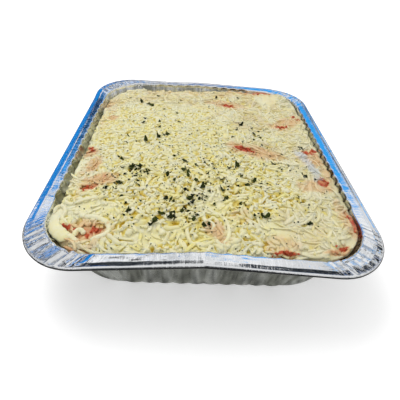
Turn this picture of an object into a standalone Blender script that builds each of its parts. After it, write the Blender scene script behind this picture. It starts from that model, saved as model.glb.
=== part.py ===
"""Foil tray meal: a rectangular aluminium foil tray filled with lasagne, under grated cheese and herbs.

Metres, +Z up. X runs across the tray, Y from its near end to its far end.
The origin is the middle of the tray's floor, on its underside.
"""

import math

import bmesh
import bpy
import numpy as np
from mathutils import Vector, noise

# Driving sizes of the tray, a half-size catering pan about 50 mm deep.
RIM_WIDTH = 0.264
RIM_LENGTH = 0.324
RIM_HEIGHT = 0.050
FOIL = 0.0006
BEAD_RADIUS = 0.0010
FLANGE = 0.0122
RIM_CORNER = 0.0455
MOUTH_CORNER = 0.0430
FLOOR_CORNER = 0.0410

# The wall's ridges: heights, and how far in from the rim's edge they stand there, as is the floor.
WALL_HIGH = 0.0465
WALL_HIGH_INSET = 0.0140
WALL_LOW = 0.0070
WALL_LOW_INSET = 0.0265
FILLET_HEIGHT = 0.0020
FILLET_INSET = 0.0287
FLOOR_INSET = 0.0335
CROWN_RISE = 0.0004
CROWN_INSET = 0.0075
MOUTH_DROP = 0.0008

# The fluted wall: bulges outwards with sharp ridges inwards, on the straight sides only.
FLUTES_ACROSS = 10
FLUTES_ALONG = 15
FLUTE_PITCH = 0.0120
FLUTE_DEPTH = 0.0026
CORNER_STEPS = 7

# The near and far rims are bent up to a crease in their middles.
NEAR_DENT = 0.0085
FAR_DENT = 0.0040
DENT_HALF_WIDTH = 0.106
DENT_REACH = 0.040
CREASE_X = -0.0035

# The far left corner of the rim is bent up a little.
CORNER_RISE = 0.0048
CORNER_RISE_ACROSS = 0.095
CORNER_RISE_ALONG = 0.062

# The food. The lasagne fills the tray to BASE_TOP, and the cheese lies on it.
GAP = 0.0004
WALL_CLEARANCE = 0.0012
BASE_TOP = 0.0380
CHEESE_MIDDLE = 0.0535
CHEESE_EDGE = 0.0450
EDGE_RISE_ACROSS = 0.0020
EDGE_RISE_ALONG = -0.0008
CHEESE_MARGIN = 0.0018
CHEESE_WOBBLE = 0.0020
LUMP_SIZE = 0.0115
LUMP_HEIGHT = 0.0046
CHEESE_CELLS = (28, 36)
SEED = 11
SLIVER = 2e-6

# Places where the pasta and sauce show through the cheese: middle, half sizes and turn.
SAUCE_GAPS = {
    "near_left": ((-0.0860, -0.1240), (0.0190, 0.0100), 5),
    "corner": ((-0.1060, -0.1120), (0.0085, 0.0150), 20),
    "left": ((-0.0930, -0.0700), (0.0150, 0.0075), 20),
    "left_middle": ((-0.1040, -0.0200), (0.0070, 0.0075), -30),
    "right": ((0.1030, -0.0580), (0.0110, 0.0080), -15),
    "right_middle": ((0.1030, -0.0040), (0.0105, 0.0060), -15),
    "far_right": ((0.0880, 0.0520), (0.0085, 0.0060), 10),
    "middle_right": ((0.0440, -0.0090), (0.0130, 0.0060), -12),
    "far_middle": ((0.0300, 0.1020), (0.0120, 0.0060), -20),
}
MOUND_INSET = 0.0018
MOUND_BELOW_CHEESE = 0.0016
MOUND_STEP = 0.0034
MOUND_ROOT = 0.0030
GAP_SIDES = 12
GAP_OVERSHOOT = 0.0100

# Strands that stand out of the cheese: the long ones by middle, heading, length and bend,
# then a scattered lot. The first is a loop round the near left gap.
LONG_STRANDS = (
    ((-0.0640, -0.1240), 95, 0.052, 3.9),
    ((-0.0920, -0.0590), 12, 0.040, 0.8),
    ((-0.1020, -0.0720), 70, 0.026, 0.9),
    ((0.0040, -0.1220), 80, 0.038, 2.6),
    ((0.0260, -0.1290), 150, 0.028, -1.8),
    ((0.0450, -0.1040), -60, 0.034, 0.6),
    ((0.0760, -0.0990), -52, 0.036, -0.5),
    ((-0.0420, -0.1320), 12, 0.026, 1.2),
    ((0.0860, -0.1300), 8, 0.030, -0.7),
)
STRAND_THICK = 0.0030
SCATTERED_STRANDS = 30
SCATTERED_LENGTHS = (0.014, 0.024)
SCATTERED_BEND = 1.6
STRAND_STEP = 0.0068
STRAND_TURN = 0.55

# Herb flakes: middle of each sprinkling, its spread, and how many flakes it has.
HERB_PATCHES = (
    ((-0.0560, -0.0580), 0.0110, 10),
    ((0.0020, -0.0480), 0.0160, 8),
    ((-0.0080, -0.0900), 0.0075, 8),
    ((-0.0280, -0.1070), 0.0080, 7),
    ((-0.0600, -0.1050), 0.0070, 4),
    ((0.0380, -0.1010), 0.0060, 3),
    ((0.0800, -0.0920), 0.0080, 3),
    ((0.0720, -0.0560), 0.0120, 3),
    ((0.0520, 0.0300), 0.0120, 4),
    ((-0.0680, 0.0200), 0.0080, 3),
)
FLAKE_SIZE = 0.0042
FLAKE_THICK = 0.0011


def clear_scene():
    for obj in list(bpy.data.objects):
        bpy.data.objects.remove(obj, do_unlink=True)


def finish_material(name, colour, roughness, metallic=0.0):
    material = bpy.data.materials.new(name)
    material.use_nodes = True
    surface = material.node_tree.nodes["Principled BSDF"]
    surface.inputs["Base Color"].default_value = (*colour, 1.0)
    surface.inputs["Roughness"].default_value = roughness
    surface.inputs["Metallic"].default_value = metallic
    return material


def new_object(name, points, faces, material=None):
    mesh = bpy.data.meshes.new(name)
    mesh.from_pydata([tuple(p) for p in points], [], [tuple(f) for f in faces])
    mesh.validate()
    obj = bpy.data.objects.new(name, mesh)
    bpy.context.scene.collection.objects.link(obj)
    if material:
        mesh.materials.append(material)
    return obj


def face_outwards(obj):
    shell = bmesh.new()
    shell.from_mesh(obj.data)
    bmesh.ops.recalc_face_normals(shell, faces=shell.faces)
    shell.to_mesh(obj.data)
    shell.free()


def corner_radius(inset):
    """The plan radius of the tray's corners at a distance in from the rim's outer edge."""
    return float(np.interp(inset, (0.0, FLANGE, FLOOR_INSET), (RIM_CORNER, MOUTH_CORNER, FLOOR_CORNER)))


def wall_inset(height):
    """How far in from the rim's edge the wall's ridges stand at a height."""
    return float(np.interp(height, (WALL_LOW, WALL_HIGH), (WALL_LOW_INSET, WALL_HIGH_INSET)))


def side_steps(flutes, straight):
    """Places along a straight side, and how far out the flute stands at each.

    The flutes keep their pitch where the straight is long enough, and else close up.
    """
    fluted = min(flutes * FLUTE_PITCH, 0.98 * straight)
    places = np.arange(2 * flutes + 1)
    return (places / (2 * flutes) - 0.5) * fluted, places % 2


def rim_columns(inset):
    """Plan points round the tray at an inset, and the flute's bulge and outward direction at each.

    Every inset gives the same number of points, so that rows at different heights join up.
    """
    half = np.array([RIM_WIDTH / 2 - inset, RIM_LENGTH / 2 - inset])
    radius = corner_radius(inset)
    points, bulges, outwards = [], [], []
    sides = (
        (FLUTES_ACROSS, half[0] - radius, half[1], Vector((1, 0)), Vector((0, -1))),
        (FLUTES_ALONG, half[1] - radius, half[0], Vector((0, 1)), Vector((1, 0))),
        (FLUTES_ACROSS, half[0] - radius, half[1], Vector((-1, 0)), Vector((0, 1))),
        (FLUTES_ALONG, half[1] - radius, half[0], Vector((0, -1)), Vector((-1, 0))),
    )
    for flutes, reach, across, along, out in sides:
        steps, bulge = side_steps(flutes, 2 * reach)
        for step, height in zip(steps, bulge):
            points.append(along * step + out * across)
            bulges.append(height)
            outwards.append(out)
        centre = along * reach + out * (across - radius)
        for k in range(CORNER_STEPS):
            turn = math.radians(90) * (k + 0.5) / CORNER_STEPS
            direction = out * math.cos(turn) + along * math.sin(turn)
            points.append(centre + direction * radius)
            bulges.append(0.0)
            outwards.append(direction)
    return points, bulges, outwards


def corner_rise(x, y):
    """How far the far left corner of the rim is bent up, falling off evenly along both its sides."""
    across = max(0.0, 1 - (x + RIM_WIDTH / 2) / CORNER_RISE_ACROSS)
    along = max(0.0, 1 - (RIM_LENGTH / 2 - y) / CORNER_RISE_ALONG)
    return CORNER_RISE * across * along


def dent(x, y, z):
    """The rise of the bent rims: a ridge of two slopes at the crease, fading inwards and downwards."""
    slope = max(0.0, 1 - abs(x - CREASE_X) / DENT_HALF_WIDTH)
    inside = RIM_LENGTH / 2 - abs(y)
    fade = min(1.0, max(0.0, 1 - (inside - FLANGE) / DENT_REACH))
    ridge = (NEAR_DENT if y < 0 else FAR_DENT) * slope * fade
    return (ridge + corner_rise(x, y)) * min(1.0, z / RIM_HEIGHT) ** 2


def dent_shift(x, y, height):
    """How far further in the wall stands at a height, where its top is bent up."""
    low = WALL_LOW + dent(x, y, WALL_LOW)
    high = WALL_HIGH + dent(x, y, WALL_HIGH)
    plain_share = (height - WALL_LOW) / (WALL_HIGH - WALL_LOW)
    return (plain_share - (height - low) / (high - low)) * (WALL_LOW_INSET - WALL_HIGH_INSET)


def kept_off(x, y, height):
    """A place in the food's outline, moved inwards as far as the bent walls lean in at a height."""
    wall_slope = (WALL_LOW_INSET - WALL_HIGH_INSET) / (WALL_HIGH - WALL_LOW)
    lean = wall_slope * corner_rise(x, y) * (height / RIM_HEIGHT) ** 2
    return x - math.copysign(lean, x), y - math.copysign(dent_shift(x, y, height), y)


def tray_profile():
    """The foil's underside from the curled edge in to the floor: inset, height and share of flute."""
    bead_inset = BEAD_RADIUS + FOIL
    bead_height = RIM_HEIGHT - FOIL - BEAD_RADIUS
    rows = []
    for turn in (-110, 0, 90):
        lean = math.radians(turn)
        inset = bead_inset - BEAD_RADIUS * math.cos(lean)
        rows.append((inset, bead_height + BEAD_RADIUS * math.sin(lean), 0.0))
    rows += [
        (CROWN_INSET, RIM_HEIGHT + CROWN_RISE, 0.0),
        (FLANGE, RIM_HEIGHT - MOUTH_DROP, 0.8),
        (WALL_HIGH_INSET, WALL_HIGH, 1.0),
        (WALL_LOW_INSET, WALL_LOW, 0.9),
        (FILLET_INSET, FILLET_HEIGHT, 0.3),
        (FLOOR_INSET, 0.0, 0.0),
    ]
    return rows


def band_faces(rows, count):
    """Quads that join each ring of count points to the next."""
    faces = []
    for start in range(0, (rows - 1) * count, count):
        for k in range(count):
            after = (k + 1) % count
            faces.append((start + k, start + after, start + count + after, start + count + k))
    return faces


def make_tray():
    """The foil as one surface, its underside, given its thickness inwards."""
    points = []
    profile = tray_profile()
    for inset, height, flute in profile:
        plan, bulges, outwards = rim_columns(inset)
        for place, bulge, out in zip(plan, bulges, outwards):
            spot = place + out * (FLUTE_DEPTH * flute * bulge)
            points.append((spot.x, spot.y, height + dent(spot.x, spot.y, height)))
    count = len(points) // len(profile)
    faces = band_faces(len(profile), count) + [range(len(points) - count, len(points))]
    foil = finish_material("foil", (0.86, 0.87, 0.87), 0.28, 1.0)
    tray = new_object("foil_tray", points, faces, foil)
    face_down(tray)
    thicken = tray.modifiers.new("foil", "SOLIDIFY")
    thicken.thickness = FOIL
    thicken.offset = -1.0
    return tray


def face_down(obj):
    """Turns every face of the open sheet the same way, with the floor's face looking down."""
    sheet = bmesh.new()
    sheet.from_mesh(obj.data)
    bmesh.ops.recalc_face_normals(sheet, faces=sheet.faces)
    floor = max(sheet.faces, key=lambda face: len(face.verts))
    if floor.normal.z > 0:
        bmesh.ops.reverse_faces(sheet, faces=sheet.faces)
    sheet.to_mesh(obj.data)
    sheet.free()


def food_outline(inset, height, steps=9):
    """Plan points of a rounded rectangle at an inset from the rim's edge, kept off the bent walls."""
    half_x = RIM_WIDTH / 2 - inset
    half_y = RIM_LENGTH / 2 - inset
    radius = corner_radius(inset)
    points = []
    for quarter in range(4):
        side_x = 1 if quarter in (0, 3) else -1
        side_y = 1 if quarter in (0, 1) else -1
        for k in range(steps):
            turn = math.radians(90 * (quarter + k / (steps - 1)))
            x = side_x * (half_x - radius) + radius * math.cos(turn)
            y = side_y * (half_y - radius) + radius * math.sin(turn)
            points.append((x, y))
        if quarter in (0, 2):
            points.append((CREASE_X, side_y * half_y))
    return [kept_off(x, y, height) for x, y in points]


def pulled_inside(x, y, inset):
    """The place itself, or the nearest one inside the food's outline."""
    radius = corner_radius(inset)
    reach_x = RIM_WIDTH / 2 - inset - radius
    reach_y = RIM_LENGTH / 2 - inset - radius
    over_x = max(0.0, abs(x) - reach_x)
    over_y = max(0.0, abs(y) - reach_y)
    over = math.hypot(over_x, over_y)
    if over <= radius:
        return x, y
    x = math.copysign(min(abs(x), reach_x) + over_x * radius / over, x)
    y = math.copysign(min(abs(y), reach_y) + over_y * radius / over, y)
    return x, y


def cheese_height(x, y):
    """The cheese's top: a low mound, lower at the left and the far edge, with lumps all over it."""
    across = abs(x) / (RIM_WIDTH / 2 - wall_inset(CHEESE_EDGE))
    along = abs(y) / (RIM_LENGTH / 2 - wall_inset(CHEESE_EDGE))
    outwards = min(1.0, (across**4 + along**4) ** 0.25)
    edge = CHEESE_EDGE
    edge += EDGE_RISE_ACROSS * 2 * x / RIM_WIDTH + EDGE_RISE_ALONG * 2 * y / RIM_LENGTH
    mound = edge + (CHEESE_MIDDLE - edge) * (1 - outwards**2.2)
    lumps = noise.noise(Vector((x, y, 0.31)) / LUMP_SIZE)
    broad = noise.noise(Vector((x, y, 0.77)) / (3.2 * LUMP_SIZE))
    return mound + LUMP_HEIGHT * (0.6 * lumps + 0.5 * broad)


def turned(x, y, degrees):
    turn = math.radians(degrees)
    return x * math.cos(turn) - y * math.sin(turn), x * math.sin(turn) + y * math.cos(turn)


def gap_outline(name, shrink=0.0):
    """The uneven edge of one place where sauce shows, taken in by shrink."""
    (middle_x, middle_y), (half_x, half_y), turn = SAUCE_GAPS[name]
    points = []
    for k in range(GAP_SIDES):
        angle = 2 * math.pi * k / GAP_SIDES
        ragged = 1 + 0.20 * noise.noise(Vector((4 * math.cos(angle), 4 * math.sin(angle), 90 * middle_x)))
        x = (half_x * ragged - shrink) * math.cos(angle)
        y = (half_y * ragged - shrink) * math.sin(angle)
        x, y = turned(x, y, turn)
        points.append((middle_x + x, middle_y + y))
    return points


def gap_cutter(name):
    """A block over the whole height of the cheese that cuts one gap in it."""
    outline = gap_outline(name)
    heights = (BASE_TOP - GAP_OVERSHOOT, CHEESE_MIDDLE + GAP_OVERSHOOT)
    points = [(x, y, height) for height in heights for x, y in outline]
    faces = [range(GAP_SIDES), range(GAP_SIDES, 2 * GAP_SIDES)] + band_faces(2, GAP_SIDES)
    block = new_object("gap_" + name, points, faces)
    face_outwards(block)
    return block


def sauce_mound(name):
    """A domed lump of sauce and pasta that rises through its gap in the cheese."""
    inset = wall_inset(BASE_TOP - MOUND_ROOT) + FOIL + 0.0010
    outline = [pulled_inside(x, y, inset) for x, y in gap_outline(name, MOUND_INSET)]
    (middle_x, middle_y), _, _ = SAUCE_GAPS[name]
    count = len(outline)
    points = []
    for share, drop in ((1.0, None), (1.0, MOUND_STEP), (0.62, 0.0008)):
        for x, y in outline:
            spot_x = middle_x + (x - middle_x) * share
            spot_y = middle_y + (y - middle_y) * share
            top = cheese_height(spot_x, spot_y) - MOUND_BELOW_CHEESE
            height = BASE_TOP - MOUND_ROOT if drop is None else max(BASE_TOP + 0.0008, top - drop)
            points.append((spot_x, spot_y, height))
    points.append((middle_x, middle_y, cheese_height(middle_x, middle_y) - MOUND_BELOW_CHEESE))
    faces = [range(count)] + band_faces(3, count)
    faces += [(2 * count + k, 2 * count + (k + 1) % count, 3 * count) for k in range(count)]
    lump = new_object("mound_" + name, points, faces)
    face_outwards(lump)
    return lump


def split_into_triangles(obj):
    solid = bmesh.new()
    solid.from_mesh(obj.data)
    bmesh.ops.triangulate(solid, faces=solid.faces)
    solid.to_mesh(obj.data)
    solid.free()


def join_into(obj, helpers, operation="UNION"):
    """One Boolean of a whole collection with obj, applied, with the helpers then removed.

    Every face is flat beforehand, so that the pieces meet along single edges.
    """
    for piece in [obj, *helpers]:
        split_into_triangles(piece)
    gathered = bpy.data.collections.new("helpers")
    bpy.context.scene.collection.children.link(gathered)
    for helper in helpers:
        bpy.context.scene.collection.objects.unlink(helper)
        gathered.objects.link(helper)
    cut = obj.modifiers.new("join", "BOOLEAN")
    cut.operation = operation
    cut.operand_type = "COLLECTION"
    cut.collection = gathered
    bpy.context.view_layer.update()
    graph = bpy.context.evaluated_depsgraph_get()
    made = bpy.data.meshes.new_from_object(obj.evaluated_get(graph))
    obj.modifiers.clear()
    obj.data = made
    for helper in helpers:
        bpy.data.objects.remove(helper, do_unlink=True)
    bpy.data.collections.remove(gathered)


def drop_pockets(obj):
    """Keeps a solid's outer skin alone, without the tiny pockets sealed in where strands cross."""
    solid = bmesh.new()
    solid.from_mesh(obj.data)
    unseen = set(solid.faces)
    shells = []
    while unseen:
        front = [unseen.pop()]
        shell = []
        while front:
            face = front.pop()
            shell.append(face)
            beside = {other for edge in face.edges for other in edge.link_faces} & unseen
            unseen -= beside
            front += beside
        shells.append(shell)
    shells.sort(key=len)
    bmesh.ops.delete(solid, geom=[face for shell in shells[:-1] for face in shell], context="FACES")
    bmesh.ops.dissolve_degenerate(solid, edges=solid.edges, dist=SLIVER)
    solid.to_mesh(obj.data)
    solid.free()


def make_lasagne():
    """The pasta and sauce that fill the tray, with a lump in each gap in the cheese."""
    clear = FOIL + WALL_CLEARANCE
    rows = (
        (FLOOR_INSET + clear, FOIL + GAP),
        (WALL_LOW_INSET + clear, WALL_LOW + clear / 2),
        (wall_inset(BASE_TOP) + clear, BASE_TOP),
    )
    points = []
    for inset, height in rows:
        points += [(x, y, height) for x, y in food_outline(inset, height)]
    count = len(points) // len(rows)
    faces = [range(count), range(2 * count, 3 * count)] + band_faces(len(rows), count)
    sauce = finish_material("sauce_and_pasta", (0.62, 0.27, 0.14), 0.45)
    lasagne = new_object("lasagne", points, faces, sauce)
    face_outwards(lasagne)
    join_into(lasagne, [sauce_mound(name) for name in SAUCE_GAPS])
    return lasagne


def square_to_outline(u, v):
    """A point of the square from -1 to 1, carried to the cheese's rounded and uneven outline.

    Each square ring becomes a rounded rectangle, so that the edge is followed by the grid itself.
    """
    ring = max(abs(u), abs(v))
    if ring == 0:
        return 0.0, 0.0
    inset = wall_inset(CHEESE_EDGE) + CHEESE_MARGIN
    half_x = RIM_WIDTH / 2 - inset
    half_y = RIM_LENGTH / 2 - inset
    x = u / ring * half_x
    y = v / ring * half_y
    radius = corner_radius(inset)
    over_x = abs(x) - (half_x - radius)
    over_y = abs(y) - (half_y - radius)
    if over_x > 0 and over_y > 0:
        turn = math.pi / 4 * (1 + (over_y - over_x) / radius)
        x = math.copysign(half_x - radius + radius * math.cos(turn), x)
        y = math.copysign(half_y - radius + radius * math.sin(turn), y)
    wobble = 0.5 + 0.5 * noise.noise(Vector((x, y, 1.9)) / 0.016)
    inwards = 1 - CHEESE_WOBBLE * wobble / half_x
    x, y = kept_off(x, y, BASE_TOP)
    return x * ring * inwards, y * ring * inwards


def make_cheese_bed():
    """The cheese's core: a lumpy top on a grid, a flat underside just over the lasagne, and its side."""
    columns, rows = CHEESE_CELLS
    top = []
    for j in range(rows + 1):
        for i in range(columns + 1):
            x, y = square_to_outline(2 * i / columns - 1, 2 * j / rows - 1)
            top.append((x, y, cheese_height(x, y)))
    width = columns + 1
    faces = []
    for j in range(rows):
        for i in range(columns):
            corner = j * width + i
            faces.append((corner, corner + 1, corner + width + 1, corner + width))
    edge = list(range(columns))
    edge += [columns + j * width for j in range(rows)]
    edge += [rows * width + columns - i for i in range(columns)]
    edge += [(rows - j) * width for j in range(rows)]
    narrower = 1 - (wall_inset(BASE_TOP) - wall_inset(CHEESE_EDGE)) / (RIM_WIDTH / 2)
    bottom = [(top[k][0] * narrower, top[k][1] * narrower, BASE_TOP + GAP) for k in edge]
    start = len(top)
    for k, corner in enumerate(edge):
        after = (k + 1) % len(edge)
        faces.append((corner, start + k, start + after, edge[after]))
    faces.append(range(start, start + len(edge)))
    cream = finish_material("grated_cheese", (0.86, 0.79, 0.52), 0.5)
    cheese = new_object("grated_cheese", top + bottom, faces, cream)
    face_outwards(cheese)
    return cheese


def strand(index, middle, heading, length, bend, thick=STRAND_THICK):
    """A square-cut strand of cheese, half sunk in the bed: an arc that turns by bend radians."""
    steps = max(math.ceil(length / STRAND_STEP), math.ceil(abs(bend) / STRAND_TURN))
    points = []
    for step in range(steps + 1):
        share = step / steps - 0.5
        radius = length / bend
        x, y = turned(radius * math.sin(bend * share), radius * (1 - math.cos(bend * share)), heading)
        x += middle[0]
        y += middle[1]
        turn = math.radians(heading) + bend * share
        rise = thick * (0.42 - 1.4 * (2 * abs(share)) ** 3)
        centre = Vector((x, y, cheese_height(x, y) + rise))
        aside = Vector((-math.sin(turn), math.cos(turn), 0)) * (thick / 2)
        up = Vector((0, 0, thick / 2))
        points += [centre + aside + up, centre - aside + up, centre - aside - up, centre + aside - up]
    faces = [range(4), range(4 * steps, 4 * steps + 4)] + band_faces(steps + 1, 4)
    piece = new_object(f"strand_{index}", points, faces)
    face_outwards(piece)
    return piece


def near_a_gap(x, y, reach):
    """Whether a place lies within reach of a place where the sauce shows."""
    for (middle_x, middle_y), (half_x, half_y), turn in SAUCE_GAPS.values():
        along, across = turned(x - middle_x, y - middle_y, -turn)
        if (along / (half_x * 1.2 + reach)) ** 2 + (across / (half_y * 1.2 + reach)) ** 2 < 1:
            return True
    return False


def well_inside(x, y, margin):
    """Whether a place lies on the cheese, at least margin in from its edge."""
    half_x = RIM_WIDTH / 2 - wall_inset(BASE_TOP) - CHEESE_WOBBLE - margin
    half_y = RIM_LENGTH / 2 - wall_inset(BASE_TOP) - CHEESE_WOBBLE - margin
    radius = FLOOR_CORNER
    over_x = max(0.0, abs(x) - (half_x - radius))
    over_y = max(0.0, abs(y) - (half_y - radius))
    return math.hypot(over_x, over_y) < radius and abs(x) < half_x and abs(y) < half_y


def make_strands(draw):
    """The long strands, then the scattered ones: on a jittered grid, thicker towards the near end."""
    pieces = []
    for middle, heading, length, bend in LONG_STRANDS:
        pieces.append(strand(len(pieces), middle, heading, length, bend))
    across = 6
    along = math.ceil(SCATTERED_STRANDS / across) + 2
    for k in range(across * along):
        x = RIM_WIDTH * ((k % across + draw.uniform(0.2, 0.8)) / across - 0.5) * 0.88
        y = RIM_LENGTH * ((k // across + draw.uniform(0.2, 0.8)) / along - 0.5) * 0.90
        heading = draw.uniform(0, 180)
        length = draw.uniform(*SCATTERED_LENGTHS)
        bend = draw.uniform(-SCATTERED_BEND, SCATTERED_BEND)
        thick = STRAND_THICK * (0.95 - 0.22 * 2 * y / RIM_LENGTH)
        if near_a_gap(x, y, length * 0.6) or not well_inside(x, y, length * 0.55):
            continue
        if len(pieces) < len(LONG_STRANDS) + SCATTERED_STRANDS:
            pieces.append(strand(len(pieces), (x, y), heading, length, bend, thick))
    return pieces


def flake(index, x, y, turn, lean, size):
    """A thin herb flake, four-sided and uneven, lying half sunk in the cheese at a lean."""
    corners = ((-0.5, -0.22), (0.1, -0.36), (0.5, 0.08), (-0.1, 0.34))
    tilt = Vector((math.sin(lean), 0.0, math.cos(lean)))
    base = Vector((x, y, cheese_height(x, y) + 0.0007))
    points = []
    for side in (-1, 1):
        for along, across in corners:
            flat_x, flat_y = turned(along * size, across * size, turn)
            spot = base + Vector((flat_x, flat_y, -flat_x * math.tan(lean)))
            points.append(spot + tilt * (side * FLAKE_THICK))
    faces = [range(4), range(4, 8)] + band_faces(2, 4)
    piece = new_object(f"flake_{index}", points, faces)
    face_outwards(piece)
    return piece


def make_flakes(draw):
    pieces = []
    for (middle_x, middle_y), spread, count in HERB_PATCHES:
        for _ in range(count):
            x = middle_x + draw.normal(0, spread)
            y = middle_y + draw.normal(0, spread)
            turn = draw.uniform(0, 360)
            lean = draw.uniform(-0.35, 0.35)
            size = FLAKE_SIZE * draw.uniform(0.8, 1.3)
            if near_a_gap(x, y, 0.004) or not well_inside(x, y, 0.006):
                continue
            pieces.append(flake(len(pieces), x, y, turn, lean, size))
    return pieces


def make_cheese():
    """The grated cheese as one heap: the bed, cut where sauce shows, with strands and flakes fused on."""
    draw = np.random.RandomState(SEED)
    cheese = make_cheese_bed()
    join_into(cheese, [gap_cutter(name) for name in SAUCE_GAPS], "DIFFERENCE")
    join_into(cheese, make_strands(draw) + make_flakes(draw))
    drop_pockets(cheese)
    return cheese


def shade(obj):
    obj.data.shade_smooth()
    obj.data.set_sharp_from_angle(angle=math.radians(38))


def main():
    clear_scene()
    for obj in (make_tray(), make_lasagne(), make_cheese()):
        shade(obj)


main()
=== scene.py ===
"""Foil tray meal: a fluted foil tray of lasagne under grated cheese and herbs.

Every surface is worked out with numpy, in metres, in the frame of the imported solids: the origin is
the middle of the tray's floor, X runs across, Y towards the far end and Z up.
"""

import math

import bpy
import numpy as np
from mathutils import Matrix, Vector


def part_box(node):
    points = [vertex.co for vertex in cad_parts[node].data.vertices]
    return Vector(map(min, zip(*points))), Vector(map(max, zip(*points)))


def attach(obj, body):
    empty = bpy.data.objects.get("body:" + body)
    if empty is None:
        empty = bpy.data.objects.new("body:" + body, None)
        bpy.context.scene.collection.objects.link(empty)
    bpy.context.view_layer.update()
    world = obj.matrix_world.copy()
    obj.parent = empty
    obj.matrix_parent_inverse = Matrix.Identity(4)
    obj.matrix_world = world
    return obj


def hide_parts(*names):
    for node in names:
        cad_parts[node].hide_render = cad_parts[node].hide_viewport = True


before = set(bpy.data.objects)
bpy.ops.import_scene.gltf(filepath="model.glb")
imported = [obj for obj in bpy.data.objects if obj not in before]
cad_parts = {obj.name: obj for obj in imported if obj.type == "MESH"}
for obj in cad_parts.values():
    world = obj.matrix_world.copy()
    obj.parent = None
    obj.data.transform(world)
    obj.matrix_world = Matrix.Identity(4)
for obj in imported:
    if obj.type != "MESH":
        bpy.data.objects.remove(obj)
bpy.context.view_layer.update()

bl_info = {
    "name": "Foil tray meal",
    "version": (1, 0, 0),
    "blender": (4, 5, 0),
    "location": "3D View > Sidebar > Tray meal",
    "description": "Builds a foil tray of lasagne under grated cheese and herb flakes",
    "category": "Object",
}

TRAY_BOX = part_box("foil_tray")

# The tray, as its solid has it.
RIM_WIDTH = TRAY_BOX[1][0] - TRAY_BOX[0][0]
RIM_LENGTH = TRAY_BOX[1][1] - TRAY_BOX[0][1]
RIM_HEIGHT = 0.050
FLANGE = 0.0122
RIDGE = 0.0054
RIM_CORNER = 0.0455
MOUTH_CORNER = 0.0430
FLOOR_CORNER = 0.0410
FLANGE_START = 0.0027
FLANGE_END = 0.0110
MOUTH_HEIGHT = 0.0484
WALL_LOW = 0.0070
WALL_LOW_INSET = 0.0265
FLOOR_INSET = 0.0335
NEAR_DENT = 0.0085
FAR_DENT = 0.0040
DENT_HALF_WIDTH = 0.106
DENT_REACH = 0.040
CREASE_X = -0.0035
CORNER_RISE = 0.0048
CORNER_LEAN = 0.28
FLUTE_PITCH = 0.012
FLUTES_ACROSS = 10
FLUTES_ALONG = 15

# The food's fluted length and its edge's inset, the points of a strand's path, and the tenths of a
# millimetre in a metre.
FOOD_SPAN_ALONG = 0.089
FOOD_EDGE = 0.0150
PATH_STEPS = 8
TENTHS = 10000.0


def ellipses(*rows):
    """Ellipses in metres, given by middle and half sizes in tenths of a millimetre, then the rest."""
    return [((a / TENTHS, b / TENTHS), (c / TENTHS, d / TENTHS), *rest) for a, b, c, d, *rest in rows]


# Places where pasta and sauce show through: middle, half sizes and turn in degrees.
SAUCE_GAPS = ellipses(
    (-880, -1235, 165, 85, 5), (-1140, -1030, 34, 34, 0), (-950, -715, 110, 50, 15),
    (-1085, -125, 65, 40, -40), (1050, -570, 60, 55, -15), (1070, -20, 85, 45, -15),
    (885, 505, 70, 35, 10), (430, -90, 120, 48, -12), (300, 1015, 95, 50, -20),
)


def eased(low, high, value):
    """An eased step: 0 at low, 1 at high, with a cubic between."""
    share = np.clip((value - low) / (high - low), 0.0, 1.0)
    return share * share * (3.0 - 2.0 * share)


def ripple(x, y, size, seed):
    """Smooth noise from -1 to 1: random values on a square lattice, eased between the corners."""
    values = np.random.RandomState(seed).uniform(-1.0, 1.0, (64, 64))
    u = np.asarray(x, float) / size + 1000.0
    v = np.asarray(y, float) / size + 1000.0
    i = np.floor(u).astype(int)
    j = np.floor(v).astype(int)
    a = eased(0.0, 1.0, u - i)
    b = eased(0.0, 1.0, v - j)
    near = values[j % 64, i % 64] * (1 - a) + values[j % 64, (i + 1) % 64] * a
    far = values[(j + 1) % 64, i % 64] * (1 - a) + values[(j + 1) % 64, (i + 1) % 64] * a
    return near * (1 - b) + far * b


def ripples(x, y, size, seed, layers=3):
    """Layers of ripple, each half as wide and half as high as the one before it."""
    total = 0.0
    for k in range(layers):
        total = total + ripple(x, y, size / 2**k, seed + 17 * k) / 2**k
    return total / 1.6


def corner_radius(inset):
    """The plan radius of the corners at an inset, on straight lines between three known ones."""
    return np.interp(inset, (0.0, FLANGE, FLOOR_INSET), (RIM_CORNER, MOUTH_CORNER, FLOOR_CORNER))


def corner_rise(x, y):
    """The rise of the far left corner, fading on straight slopes along both of its sides."""
    across = np.clip(1 - (x + RIM_WIDTH / 2) / 0.095, 0.0, 1.0)
    along = np.clip(1 - (RIM_LENGTH / 2 - y) / 0.062, 0.0, 1.0)
    return CORNER_RISE * across * along


def bent_up(x, y, height):
    """The rise of the bent rims: two slopes to a crease, and the lifted corner, fading downwards."""
    slope = np.clip(1 - np.abs(x - CREASE_X) / DENT_HALF_WIDTH, 0.0, 1.0)
    inside = RIM_LENGTH / 2 - np.abs(y)
    fade = np.clip(1 - (inside - FLANGE) / DENT_REACH, 0.0, 1.0)
    ridge = np.where(y < 0, NEAR_DENT, FAR_DENT) * slope * fade
    return (ridge + corner_rise(x, y)) * np.clip(height / RIM_HEIGHT, 0.0, 1.0) ** 2


def bent_in(x, y):
    """How far the bent near and far walls lean in at the food's level, on two slopes to the crease."""
    slope = np.clip(1 - np.abs(x - CREASE_X) / DENT_HALF_WIDTH, 0.0, 1.0)
    return np.where(y < 0, 0.0026, 0.0013) * slope + CORNER_LEAN * corner_rise(x, y)


def fluting(place, half_span, pitch):
    """Rounded bulges with sharp valleys: the size of a sine, ending on the straight's own ends."""
    bulge = np.abs(np.sin(np.pi * (place + half_span) / pitch))
    return bulge * eased(half_span + 0.002, half_span - 0.002, np.abs(place))


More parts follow.
